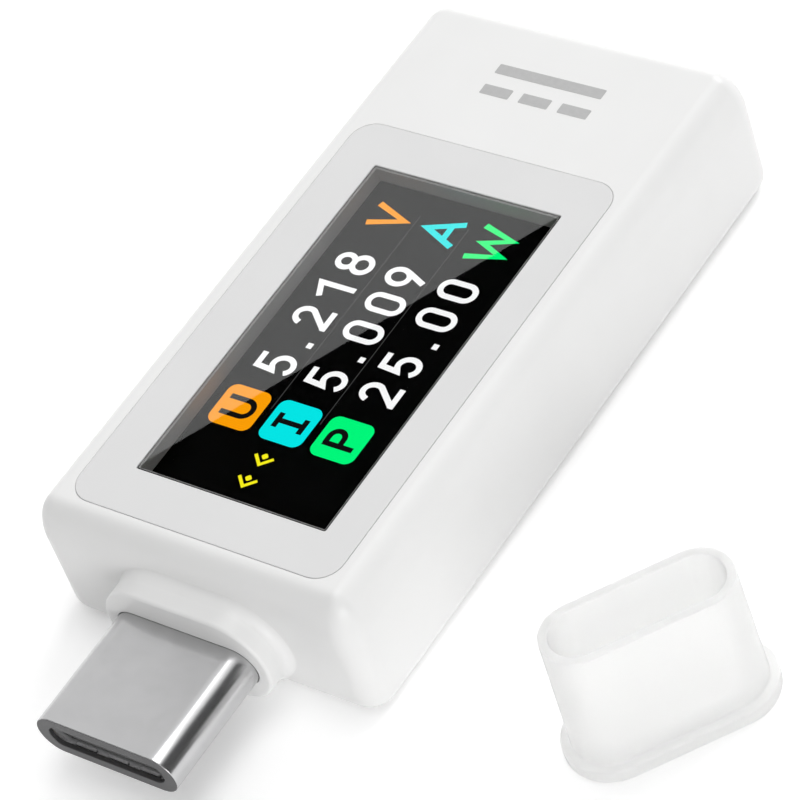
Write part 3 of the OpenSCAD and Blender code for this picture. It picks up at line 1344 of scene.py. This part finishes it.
@dataclass
class Glyphs:
    """Plain even-stroke figures and letters, drawn from a baseline. Millimetres.

    Attributes:
        height: Height of a capital or figure.
        stroke: Stroke width that the outer edges are set by.
    """

    height: float = 2.1
    stroke: float = 0.29

    def draw(self, pen: Stroke, sign: str, at: Point2, scale: float, stroke: float) -> None:
        """Draw one sign.

        Args:
            pen: Pen to draw with.
            sign: Digit, point or unit letter.
            at: Left end of its baseline, along and up.
            scale: Size factor.
            stroke: Stroke width.
        """
        for points, closed in self.paths(sign):
            pen.line([(at[0] + u * scale, at[1] + v * scale) for u, v in points], stroke, closed)

    def paths(self, sign: str) -> list[tuple[list[Point2], bool]]:
        """Centre lines of one sign.

        Args:
            sign: Digit, point or unit letter.

        Returns:
            Lines, each with whether it closes.
        """
        h = self.height
        s = self.stroke / 2
        t = h - s
        return {
            "0": [(arc((0.60, t - 0.46), (0.46, 0.46), 0, 180)
                   + arc((0.60, s + 0.46), (0.46, 0.46), 180, 360), True)],
            "1": [([(-0.06, 1.56), (0.74, 1.93), (0.74, 0.0)], False)],
            "2": [(arc((0.60, t - 0.52), (0.45, 0.52), 168, -28) + [(0.17, 0.20)], False),
                  ([(0.02, s), (1.20, s)], False)],
            "5": [([(1.08, t), (0.26, t), (0.19, 1.06)]
                   + arc((0.58, s + 0.54), (0.47, 0.54), 140, -150, 20)[1:], False)],
            "8": [(arc((0.66, t - 0.43), (0.40, 0.43), 0, 342, 24), True),
                  (arc((0.66, s + 0.49), (0.48, 0.49), 0, 346, 26), True)],
            "9": [(arc((0.62, t - 0.55), (0.46, 0.55), 0, 346, 26), True),
                  ([(1.06, 1.25), (0.98, 1.00), (0.55, 0.0)], False)],
            ".": [([(-0.16, 0.16), (0.16, 0.16)], False)],
            "V": [([(0.08, h), (0.75, 0.20), (1.42, h)], False)],
            "A": [([(0.08, 0.0), (0.86, h - 0.22), (1.64, 0.0)], False),
                  ([(0.36, 0.66), (1.36, 0.66)], False)],
            "W": [([(0.10, h), (0.62, 0.22), (1.17, 1.62), (1.72, 0.22), (2.24, h)], False)],
            "U": [([(0.14, h)] + arc((0.75, 0.72), (0.61, 0.60), 180, 360, 16)
                   + [(1.36, h)], False)],
            "I": [([(0.72, s), (0.72, t)], False), ([(0.16, s), (1.28, s)], False),
                  ([(0.16, t), (1.28, t)], False)],
            "P": [([(0.20, 0.0), (0.20, h)], False),
                  ([(0.20, t)] + arc((0.72, t - 0.50), (0.52, 0.50), 90, -90)
                   + [(0.20, t - 1.0)], False)],
        }[sign]


@dataclass(frozen=True)
class Row:
    """One line of the readout.

    Attributes:
        base: X of the baseline.
        letter: Letter in the badge.
        letter_wide: Width of that letter.
        signs: Signs and the Y where each starts.
        unit: Unit letter and the Y where it starts.
        finish: Colour of the badge and the unit.
    """

    base: float
    letter: str
    letter_wide: float
    signs: tuple[tuple[str, float], ...]
    unit: tuple[str, float]
    finish: Finish


@dataclass
class Readout:
    """Lit content of the display: three rows and two direction marks. Millimetres.

    Attributes:
        badge: Side of a badge.
        badge_y: Y where the badges start.
        badge_corner: Their corner radius.
        badge_drop: How far a badge sits below the middle of its line.
        letter_scale: Size of a badge's letter.
        thick: Thickness of the lit layer.
        above: Gap between layers.
        shift: Shift of the whole content along Y.
        figure_shift: Further shift of the figures, along and up.
        ruled: X of the lines between rows.
        ruled_y: Where those lines start and stop.
        marks: Y of the tips of the direction marks.
    """

    badge: float = 2.54
    badge_y: float = -10.33
    badge_corner: float = 0.50
    badge_drop: float = 0.09
    letter_scale: float = 0.82
    thick: float = 0.008
    above: float = 0.002
    shift: float = 0.1
    figure_shift: Point2 = (-0.03, -0.07)
    ruled: Point2 = (-1.80, 1.12)
    ruled_y: Point2 = (-8.6, 4.9)
    marks: Point2 = (-11.92, -13.34)

    ROWS: ClassVar[tuple[Row, ...]] = (
        Row(-2.20, "U", 1.50,
            (("5", -6.62), (".", -4.43), ("2", -3.43), ("1", -1.36), ("8", 0.36)),
            ("V", 3.56), Finish.ORANGE_PIXELS),
        Row(0.86, "I", 1.44,
            (("5", -6.62), (".", -4.34), ("0", -3.40), ("0", -1.42), ("9", 0.36)),
            ("A", 3.48), Finish.CYAN_PIXELS),
        Row(3.92, "P", 1.40,
            (("2", -6.56), ("5", -4.58), (".", -2.37), ("0", -1.45), ("0", 0.52)),
            ("W", 3.17), Finish.GREEN_PIXELS),
    )

    def pen(self, layer: int = 0) -> Stroke:
        """Pen for one layer over the display glass.

        Args:
            layer: 0 for the lit layer, 1 for what lies on it.

        Returns:
            The pen.
        """
        base = box_mm("lcd_glass")[1].z + 0.003
        return Stroke(lambda u, v: (-v, u + self.shift), base + layer * (self.thick + self.above),
                      self.thick)

    def draw_row(self, row: Row, figures: Stroke, letters: Stroke) -> None:
        """Draw one row and hand over its badge and unit.

        Args:
            row: What it says.
            figures: Pen for the figures.
            letters: Pen for the badges' letters.
        """
        glyphs = Glyphs()
        colour = self.pen()
        along, up = self.figure_shift
        for sign, y in row.signs:
            glyphs.draw(figures, sign, (y + along, -row.base + up), 1.06, 0.315)
        glyphs.draw(colour, row.unit[0], (row.unit[1], -row.base), 1.0, 0.34)
        half = self.badge / 2
        mid = (self.badge_y + half, -row.base + half - self.badge_drop)
        colour.patch([(u + mid[0], v + mid[1]) for u, v in rounded_rect(
            self.badge, self.badge, self.badge_corner, 8)])
        wide, tall = row.letter_wide * self.letter_scale, glyphs.height * self.letter_scale
        glyphs.draw(letters, row.letter, (mid[0] - wide / 2, mid[1] - tall / 2),
                    self.letter_scale, 0.30)
        hand_over(colour.part.build("lit_" + row.letter.lower(), weighted=False), row.finish,
                  "meter", "lcd_black")

    def make(self) -> None:
        """Build each colour's content as one piece."""
        white, dark, dim, yellow = self.pen(), self.pen(1), self.pen(), self.pen()
        for row in self.ROWS:
            self.draw_row(row, white, dark)
        for x in self.ruled:
            dim.line([(y, -x) for y in self.ruled_y], 0.05)
        slope = math.sqrt(0.5)
        diamond = [((u - v) * slope, (u + v) * slope)
                   for u, v in rounded_rect(0.30, 0.30, 0.08, 3)]
        for tip in self.marks:
            yellow.line([(tip + 0.65, 0.86), (tip + 0.13, 0.33), (tip + 0.65, -0.20)], 0.17)
            yellow.patch([(u + tip + 0.66, v + 0.33) for u, v in diamond])
        for pen, name, finish in ((white, "lit_figures", Finish.WHITE_PIXELS),
                                  (dark, "badge_letters", Finish.DARK_PIXELS),
                                  (dim, "row_lines", Finish.DIM_PIXELS),
                                  (yellow, "direction_marks", Finish.YELLOW_PIXELS)):
            hand_over(pen.part.build(name, weighted=False), finish, "meter", "lcd_black")


# ---------------------------------------------------------------- connectors

@dataclass
class ContactRow:
    """Geometry Nodes tree that repeats one contact along X at an even pitch.

    Attributes:
        count: Contacts in a row.
        pitch_mm: Distance from one to the next.
        inputs: Identifier of each named input of the tree.
    """

    count: int = 12
    pitch_mm: float = 0.5
    inputs: dict[str, str] = field(default_factory=dict)

    def __post_init__(self) -> None:
        """Build the tree with its named inputs."""
        self.tree = bpy.data.node_groups.new("contact_row", "GeometryNodeTree")
        face = self.tree.interface
        for name, way, kind in (("Geometry", "INPUT", "Geometry"), ("Count", "INPUT", "Int"),
                                ("Pitch", "INPUT", "Float"), ("Metal", "INPUT", "Material"),
                                ("Geometry", "OUTPUT", "Geometry")):
            made = face.new_socket(name, in_out=way, socket_type="NodeSocket" + kind)
            if way == "INPUT":
                self.inputs[name] = made.identifier
        node = {name: self.tree.nodes.new(kind) for name, kind in (
            ("given", "NodeGroupInput"), ("out", "NodeGroupOutput"),
            ("line", "GeometryNodeMeshLine"), ("spread", "GeometryNodeInstanceOnPoints"),
            ("real", "GeometryNodeRealizeInstances"), ("coat", "GeometryNodeSetMaterial"),
            ("step", "ShaderNodeCombineXYZ"), ("start", "ShaderNodeCombineXYZ"),
            ("less", "ShaderNodeMath"), ("half", "ShaderNodeMath"), ("back", "ShaderNodeMath"))}
        node["less"].operation = "SUBTRACT"
        node["less"].inputs[1].default_value = 1.0
        node["half"].operation = node["back"].operation = "MULTIPLY"
        node["half"].inputs[1].default_value = -0.5
        for source, output, target, given in (
                ("given", "Count", "line", "Count"), ("given", "Pitch", "step", "X"),
                ("step", 0, "line", "Offset"), ("given", "Count", "less", 0),
                ("less", 0, "half", 0), ("half", 0, "back", 0), ("given", "Pitch", "back", 1),
                ("back", 0, "start", "X"), ("start", 0, "line", "Start Location"),
                ("line", "Mesh", "spread", "Points"), ("given", "Geometry", "spread", "Instance"),
                ("spread", "Instances", "real", "Geometry"),
                ("real", "Geometry", "coat", "Geometry"), ("given", "Metal", "coat", "Material"),
                ("coat", "Geometry", "out", "Geometry")):
            self.tree.links.new(node[source].outputs[output], node[target].inputs[given])

    def spread(self, finger: bpy.types.Object, finish: Finish) -> None:
        """Repeat a contact in place and keep the row as a plain mesh.

        Args:
            finger: One contact, centred on X = 0.
            finish: Metal of the contacts.
        """
        mod = finger.modifiers.new("row", "NODES")
        mod.node_group = self.tree
        mod[self.inputs["Count"]] = self.count
        mod[self.inputs["Pitch"]] = self.pitch_mm * MM
        mod[self.inputs["Metal"]] = finish.material()
        bake(finger)

    def strips(self, name: str, path: Sequence[Point2], width: float,
               thick: float) -> bpy.types.Object:
        """Row of contacts, each a strip of even width bent along a path in the YZ plane.

        Args:
            name: Object name.
            path: Points (y, z) along its middle, the free end first.
            width: Width along X.
            thick: Strip thickness.

        Returns:
            The row.
        """
        part = Shell()
        rings = []
        for i, (y, z) in enumerate(path):
            (ya, za), (yb, zb) = path[max(0, i - 1)], path[min(len(path) - 1, i + 1)]
            size = math.hypot(yb - ya, zb - za)
            ny, nz = -(zb - za) / size * thick / 2, (yb - ya) / size * thick / 2
            slim = width / 2 * (0.72 if i == 0 else 1.0)
            rings.append([Vector((-slim, y + ny, z + nz)), Vector((slim, y + ny, z + nz)),
                          Vector((slim, y - ny, z - nz)), Vector((-slim, y - ny, z - nz))])
        part.loft(rings)
        obj = part.build(name, weighted=False)
        self.spread(obj, Finish.GOLD)
        return obj


@dataclass
class SteelTube:
    """Slot-shaped drawn tube of a connector, along Y. Millimetres.

    Attributes:
        node: CAD node whose box it fills.
        wall: Sheet thickness.
        ease: Radius of the outer rim at the mouth.
        mouth: -1 when the mouth faces -Y, 1 when it faces +Y.
        edge: Radius of the inner rim.
        back_off: How far the rim stands back, to leave room for the lip.
        rows: Rows along the tube.
        lip: Thickness of the turned-in lip.
    """

    node: str
    wall: float
    ease: float
    mouth: int
    edge: float = 0.03
    back_off: float = 0.012
    rows: int = 6
    lip: float = 0.24

    def __post_init__(self) -> None:
        """Read its place from the CAD node's box."""
        low, high = box_mm(self.node)
        self.size = (high.x - low.x, high.z - low.z)
        self.mid = (low.z + high.z) / 2
        self.front, self.back = (low.y, high.y) if self.mouth < 0 else (high.y, low.y)

    def ring(self, size: Point2, gap: float, deep: float) -> Ring:
        """Outline of a size drawn in by gap, at a depth behind the mouth."""
        return stand(stadium(*grown(size, -gap), 32), self.front - self.mouth * deep, self.mid)

    def build(self, name: str) -> bpy.types.Object:
        """Build the tube.

        Args:
            name: Object name.

        Returns:
            The tube.
        """
        length = abs(self.back - self.front)
        rings = [self.ring(self.size, 0, length * (1 - i / self.rows)) for i in range(self.rows)]
        rings += [self.ring(self.size, self.ease * inset, self.back_off + self.ease * (1 - up))
                  for up, inset in quarter(6)]
        rings += [self.ring(self.size, self.wall - self.edge * (1 - up),
                            self.back_off + self.edge * inset) for up, inset in quarter(4)]
        rings.append(self.ring(self.size, self.wall, length))
        part = Shell()
        part.loft(rings, closed=True)
        return part.build(name, 40.0)

    def build_rim(self, name: str, hole: Point2) -> bpy.types.Object:
        """Build the flat turned-in lip that closes down the mouth.

        Args:
            name: Object name.
            hole: Size of the mouth inside the lip.

        Returns:
            The lip.
        """
        tuck, start = self.wall - 0.02, self.back_off + 0.002
        part = Shell()
        part.loft([self.ring(size, gap, deep) for size, gap, deep in (
            (self.size, self.ease * 0.7, start), (self.size, self.ease, 0.0),
            (hole, -self.edge, 0.0), (hole, 0.0, self.edge), (hole, 0.0, self.lip),
            (self.size, tuck, self.lip), (self.size, tuck, start))], closed=True)
        return part.build(name, 25.0)


@dataclass
class Plug:
    """Male connector: shell, contacts and the plastic inside. Millimetres.

    Attributes:
        wall: Sheet thickness of the shell.
        hole: Size of the mouth inside the lip.
        leaf: Half width and thickness of a grounding spring.
        leaves_x: Where the springs stand.
        reach: Distance of a contact from the middle.
        dip: How far its bent end comes in.
        strip: Width and thickness of a contact.
        steps: Segments along a contact.
    """

    wall: float = 0.2
    hole: Point2 = (6.8, 1.24)
    leaf: Point2 = (0.6, 0.07)
    leaves_x: Point3 = (-1.9, 0.0, 1.9)
    reach: float = 0.56
    dip: float = 0.16
    strip: Point2 = (0.26, 0.1)
    steps: int = 12

    def build_leaves(self) -> bpy.types.Object:
        """Build the flat grounding springs behind the mouth.

        Returns:
            Six springs in one piece.
        """
        low, high = box_mm("plug_emi_springs")
        half, thick = self.leaf
        part = Shell()
        for z in (low.z, high.z - thick):
            for x in self.leaves_x:
                part.block((x - half, low.y, z), (x + half, high.y, z + thick), 0.02)
        return part.build("plug_spring_leaves")

    def make(self, row: ContactRow) -> None:
        """Build and dress the plug.

        Args:
            row: Tree that repeats its contacts.
        """
        tube = SteelTube("plug_shell", self.wall, 0.04, -1)
        hand_over(tube.build("plug_tube"), Finish.STEEL, "meter", "shell_steel", "plug_shell")
        # The turned-in lip takes the darkened copy of the plug steel, a painted shade.
        hand_over(tube.build_rim("plug_rim_face", self.hole), Finish.RIM_PAINTED_SHADE, "meter", "shell_steel")
        # Painted light: the springs take the pale finish that lifts the shade in the mouth.
        hand_over(self.build_leaves(), Finish.PLUG_SPRING_PAINTED_LIGHT, "meter", "spring_steel",
                  "plug_emi_springs")
        low, high = box_mm("plug_contacts_upper")
        bend_at, bend_width = 0.16, 0.12
        for side, node in ((1, "plug_contacts_upper"), (-1, "plug_contacts_lower")):
            path = []
            for i in range(self.steps + 1):
                t = i / self.steps
                dip = self.dip * math.exp(-((t - bend_at) / bend_width) ** 2)
                path.append((low.y + (high.y - low.y) * t, tube.mid + side * (self.reach - dip)))
            hand_over(row.strips(node + "_strip", path, *self.strip), Finish.GOLD, "meter",
                      "contact_gold", node)


@dataclass
class Socket:
    """Female connector at the far end. Millimetres.

    Attributes:
        wall: Sheet thickness of the shell.
        reach: Distance of a contact from the middle.
        dip: How far its tip comes in.
        strip: Width and thickness of a contact.
    """

    wall: float = 0.3
    reach: float = 0.335
    dip: float = 0.03
    strip: Point2 = (0.25, 0.06)

    def make(self, row: ContactRow) -> None:
        """Build and dress the socket.

        Args:
            row: Tree that repeats its contacts.
        """
        tube = SteelTube("socket_shell", self.wall, 0.07, 1)
        hand_over(tube.build("socket_tube"), Finish.SOCKET_STEEL, "meter", "shell_steel",
                  "socket_shell")
        low, high = box_mm("socket_contacts")
        mid = (low.z + high.z) / 2
        rows = []
        for side in (-1, 1):
            path = [(low.y + (high.y - low.y) * t, mid + side * (self.reach - dip))
                    for t, dip in ((1.0, self.dip), (0.9, 0.0), (0.5, 0.0), (0.0, 0.0))]
            rows.append(row.strips("socket_strip", path, *self.strip))
        hand_over(merge("socket_contact_strips", rows), Finish.GOLD, "meter", "contact_gold",
                  "socket_contacts")


# ---------------------------------------------------------------- cap

@dataclass
class PlugCap:
    """Loose milky cap that stands on its flange, mouth up. Millimetres.

    Attributes:
        yaw: Turn about the upright axis, in degrees.
        mouth: Outer size at the mouth.
        hole: Size of the slot inside.
        foot: Outer size of the wall at the flange.
        flange: Outer size of the flange.
        flange_t: Flange thickness.
        depth: Depth of the slot.
        low_edge: Radius of the flange's lower edge.
        up_edge: Radius of its upper edge.
        root: Radius where the wall meets the flange.
        rim: Radius of both edges at the mouth.
        bed: Radius at the bottom of the slot.
    """

    yaw: float = 53.0
    mouth: Point2 = (9.35, 3.6)
    hole: Point2 = (8.45, 2.7)
    foot: Point2 = (9.65, 4.0)
    flange: Point2 = (10.55, 4.9)
    flange_t: float = 0.75
    depth: float = 6.75
    low_edge: float = 0.12
    up_edge: float = 0.10
    root: float = 0.10
    rim: float = 0.07
    bed: float = 0.45

    def profile(self, top: float) -> list[tuple[Point2, float, float]]:
        """Sections of the cap, from its base up the outside and down the slot.

        Args:
            top: Height of the mouth.

        Returns:
            For each section a size, how far it is drawn in and its height.
        """
        wall_low, wall_high = self.flange_t + self.root, top - self.rim
        bottom = self.depth - self.rim - self.bed
        cuts = [(self.flange, self.low_edge * (1 - up), self.low_edge * inset)
                for up, inset in quarter(5)]
        cuts += [(self.flange, self.up_edge * inset, self.flange_t - self.up_edge * (1 - up))
                 for up, inset in quarter(7)]
        cuts += [(self.foot, -self.root * (1 - up), self.flange_t + self.root * inset)
                 for up, inset in quarter(5)]
        for t in (i / 10 for i in range(1, 10)):
            size = (self.foot[0] + (self.mouth[0] - self.foot[0]) * t,
                    self.foot[1] + (self.mouth[1] - self.foot[1]) * t)
            cuts.append((size, 0.0, wall_low + (wall_high - wall_low) * t))
        cuts += [(self.mouth, self.rim * inset, top - self.rim * (1 - up))
                 for up, inset in quarter(6)]
        cuts += [(self.hole, -self.rim * (1 - up), top - self.rim * inset)
                 for up, inset in quarter(5)]
        cuts += [(self.hole, 0.0, wall_high - bottom * i / 6) for i in range(1, 6)]
        cuts += [(self.hole, self.bed * inset, top - self.depth + self.bed * (1 - up))
                 for up, inset in quarter(6)]
        return cuts

    def make(self) -> None:
        """Build and dress the cap."""
        low, high = box_mm("plug_cap")
        turn = math.radians(self.yaw)
        c, s = math.cos(turn), math.sin(turn)
        part = Shell()
        part.loft([lift([(x * c - y * s, x * s + y * c)
                         for x, y in stadium(*grown(size, -gap), 32)], z, middle(low, high))
                   for size, gap, z in self.profile(high.z)])
        hand_over(part.build("plug_cap_shell", 50.0), Finish.CAP, "cap", "white_cap", "plug_cap")


# ---------------------------------------------------------------- inside

class Inside:
    """Finishes on the CAD nodes that are kept as they are."""

    FINISHES: ClassVar[dict[str, Finish]] = {
        "window_gasket": Finish.GASKET,
        "lcd_frame": Finish.FRAME,
        "lcd_glass": Finish.GLASS,
        "light_guide": Finish.GUIDE,
        "lcd_flex": Finish.FLEX,
        "lcd_pads": Finish.PAD,
        "main_board": Finish.BOARD,
        "microcontroller": Finish.CHIP,
        "sense_amplifier": Finish.CHIP,
        "shunt_resistor": Finish.RESISTOR,
        "voltage_regulator": Finish.CHIP,
        "capacitors": Finish.CERAMIC,
        "resistors": Finish.RESISTOR,
        # Painted light: the plug insulator takes the pale core finish that lifts the shade in the
        # mouth.
        "plug_insulator": Finish.PLUG_CORE_PAINTED_LIGHT,
        "plug_latches": Finish.SPRING,
        "plug_housing": Finish.INSULATOR,
        "socket_insulator": Finish.INSULATOR,
        "socket_midplate": Finish.SPRING,
    }

    def make(self) -> None:
        """Dress each kept node."""
        for node, finish in self.FINISHES.items():
            dress(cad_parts[node], finish)
            LOG.info("%s: finish %s", node, finish.value.name)


# ---------------------------------------------------------------- studio

@dataclass(frozen=True)
class Lamp:
    """One rectangular soft light. Metres and watts.

    Attributes:
        name: Light name.
        at: Place.
        aim: Point it faces.
        size: Width and height.
        watts: Power.
    """

    name: str
    at: Point3
    aim: Point3
    size: Point2
    watts: float

    def make(self) -> None:
        """Hang the light and turn it to its aim."""
        data = bpy.data.lights.new(self.name, "AREA")
        data.shape = "RECTANGLE"
        data.size, data.size_y = self.size
        data.energy = self.watts
        obj = linked(self.name, data)
        obj.location = self.at
        obj.rotation_mode = "QUATERNION"
        obj.rotation_quaternion = (Vector(self.aim) - Vector(self.at)).to_track_quat("-Z", "Y")


@dataclass
class Studio:
    """Pale floor, soft lights, sky and the camera. Metres and degrees.

    Attributes:
        focal_mm: Focal length of the camera.
        camera_at: Place of the camera.
        elevation: Its angle above the floor.
        azimuth: Its angle about the upright axis.
        roll: Its turn about its own axis.
        level: Brightness of the sky.
        front_share: Share of it that is left in front.
        dark_way: Direction of the sky's darker patch.
        dark_level: Share of the sky's brightness in that patch.
        edge_start: One end of the flag's edge as it shows in the window, in millimetres.
        edge_stop: The other end.
        edge_past: How far the edge goes on past both ends, in metres.
        flag_wide: Width of the flag as it shows in the window.
        flag_far: Distance of the flag from the window.
    """

    focal_mm: float = 177.0
    camera_at: Point3 = (0.10267, -0.09381, 0.13709)
    elevation: float = 44.618
    azimuth: float = 48.262
    roll: float = 20.93
    level: float = 0.96
    front_share: float = 0.4
    dark_way: Point3 = (0.80, 0.36, 0.48)
    dark_level: float = 0.10
    edge_start: Point2 = (-4.74, -13.32)
    edge_stop: Point2 = (5.76, 6.61)
    edge_past: Point2 = (0.0022, 0.004)
    flag_wide: float = 0.0125
    flag_far: float = 0.40

    LAMPS: ClassVar[tuple[Lamp, ...]] = (
        Lamp("overhead", (0.03, 0.06, 0.50), (0, 0, 0), (0.30, 0.20), 0.54),
        Lamp("right_fill", (0.15, -0.14, 0.045), (0, -0.012, 0.004), (0.12, 0.06), 0.12),
        Lamp("back_light", (0.0, 0.42, 0.28), (0, 0, 0.004), (0.30, 0.10), 0.90),
    )

    def floor(self) -> None:
        """Lay a wide pale floor just under the object, with a faint glow to one side."""
        part = Shell()
        part.loft([lift(stadium(6000.0, 5999.0, 48), z) for z in (-20.0, -0.03)])
        obj = part.build("floor", weighted=False)
        n = Nodes("floor_pale")
        along = n.add("ShaderNodeVectorMath", {0: n.place()}, operation="DOT_PRODUCT")
        along.inputs[1].default_value = (1.0, -0.4, 0.0)
        obj.data.materials.append(n.surface({
            "Base Color": n.tint(n.noise(60.0, 2.0), (0.93, 0.93, 0.93), (0.95, 0.95, 0.95)),
            "Emission Strength": n.span(along.outputs["Value"], 0.15, 0.21, 0.0, 0.014),
        }, Roughness=0.9, Specular_IOR_Level=0.1, Emission_Color=(1, 1, 1, 1)))

    def flag(self) -> None:
        """Hang a black card whose straight edge reflects across the display window."""
        eye = Vector(self.camera_at)
        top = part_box("window_lens")[1].z
        mirror_eye = Vector((eye.x, eye.y, 2 * top - eye.z))
        low = Vector((*self.edge_start, 0.0)) * MM
        high = Vector((*self.edge_stop, 0.0)) * MM
        along = (high - low).normalized()
        across = Vector((along.y, -along.x, 0.0)) * self.flag_wide
        low -= along * self.edge_past[0]
        high += along * self.edge_past[1]
        corners = []
        for corner in (low, high, high + across, low + across):
            on_glass = Vector((corner.x, corner.y, top))
            corners.append(on_glass + (on_glass - mirror_eye).normalized() * self.flag_far)
        mesh = bpy.data.meshes.new("flag")
        mesh.from_pydata(corners, [], [(0, 1, 2, 3)])
        self.blacken(linked("flag", mesh))

    def end_card(self) -> None:
        """Stand up a dark card that takes light off the plug end."""
        part = Shell()
        part.block((-330.0, -182.0, 1.0), (-18.0, -180.0, 200.0))
        self.blacken(part.build("end_card", weighted=False))

    @staticmethod
    def blacken(card: bpy.types.Object) -> None:
        """Make a card matt black and unseen by the camera.

        Args:
            card: The card.
        """
        card.data.materials.append(Nodes(card.name + "_black").surface(
            {}, Base_Color=(0.001, 0.001, 0.001, 1), Roughness=1.0, Specular_IOR_Level=0.0))
        card.visible_camera = False

    def sky(self) -> None:
        """Even pale sky, dimmer in front and with one darker patch for gloss to show."""
        world = bpy.data.worlds.new("studio_sky")
        bpy.context.scene.world = world
        world.use_nodes = True
        tree = world.node_tree
        tree.nodes.clear()
        add, join = tree.nodes.new, tree.links.new
        coord, split = add("ShaderNodeTexCoord"), add("ShaderNodeSeparateXYZ")
        along, mix = add("ShaderNodeVectorMath"), add("ShaderNodeMath")
        back, out = add("ShaderNodeBackground"), add("ShaderNodeOutputWorld")
        along.operation, mix.operation = "DOT_PRODUCT", "MULTIPLY"
        along.inputs[1].default_value = self.dark_way
        back.inputs["Color"].default_value = (1, 1, 1, 1)
        way = coord.outputs["Generated"]
        join(way, split.inputs[0])
        join(way, along.inputs[0])
        for i, (value, kind, ends) in enumerate((
                (split.outputs["Y"], "LINEAR",
                 (-0.9, 0.1, self.level * self.front_share, self.level)),
                (along.outputs["Value"], "SMOOTHSTEP", (0.78, 0.92, 1.0, self.dark_level)))):
            ramp = add("ShaderNodeMapRange")
            ramp.interpolation_type = kind
            for key, end in zip(("From Min", "From Max", "To Min", "To Max"), ends):
                ramp.inputs[key].default_value = end
            join(value, ramp.inputs["Value"])
            join(ramp.outputs["Result"], mix.inputs[i])
        join(mix.outputs[0], back.inputs["Strength"])
        join(back.outputs[0], out.inputs["Surface"])

    def camera(self) -> None:
        """Set the camera at the product view."""
        data = bpy.data.cameras.new("camera")
        data.lens = self.focal_mm
        data.sensor_width = 36.0
        data.clip_start, data.clip_end = 0.01, 20.0
        obj = linked("camera", data)
        obj.location = self.camera_at
        e, a, r = (math.radians(v) for v in (self.elevation, self.azimuth, self.roll))
        back = Vector((math.sin(a) * math.cos(e), -math.cos(a) * math.cos(e), math.sin(e)))
        level = Vector((math.cos(a), math.sin(a), 0.0))
        down = (-back).cross(level)
        right = level * math.cos(r) + down * math.sin(r)
        up = back.cross(right)
        obj.rotation_mode = "QUATERNION"
        obj.rotation_quaternion = Matrix((right, up, back)).transposed().to_quaternion()
        bpy.context.scene.camera = obj

    def make(self) -> None:
        """Set up the studio."""
        bpy.context.scene.view_settings.view_transform = "Standard"
        bpy.context.scene.view_settings.look = "None"
        self.floor()
        self.camera()
        self.sky()
        self.flag()
        self.end_card()
        for lamp in self.LAMPS:
            lamp.make()


def main() -> None:
    """Build every piece in order."""
    logging.basicConfig(level=logging.INFO, format="%(name)s %(message)s")
    Studio().make()
    display = DisplayFront()
    case = Case(display.panel, display.window)
    case.make()
    PrintedSign().make(case.thick)
    display.make()
    Readout().make()
    row = ContactRow()
    Plug().make(row)
    Socket().make(row)
    PlugCap().make()
    Inside().make()


if __name__ == "__main__":
    main()
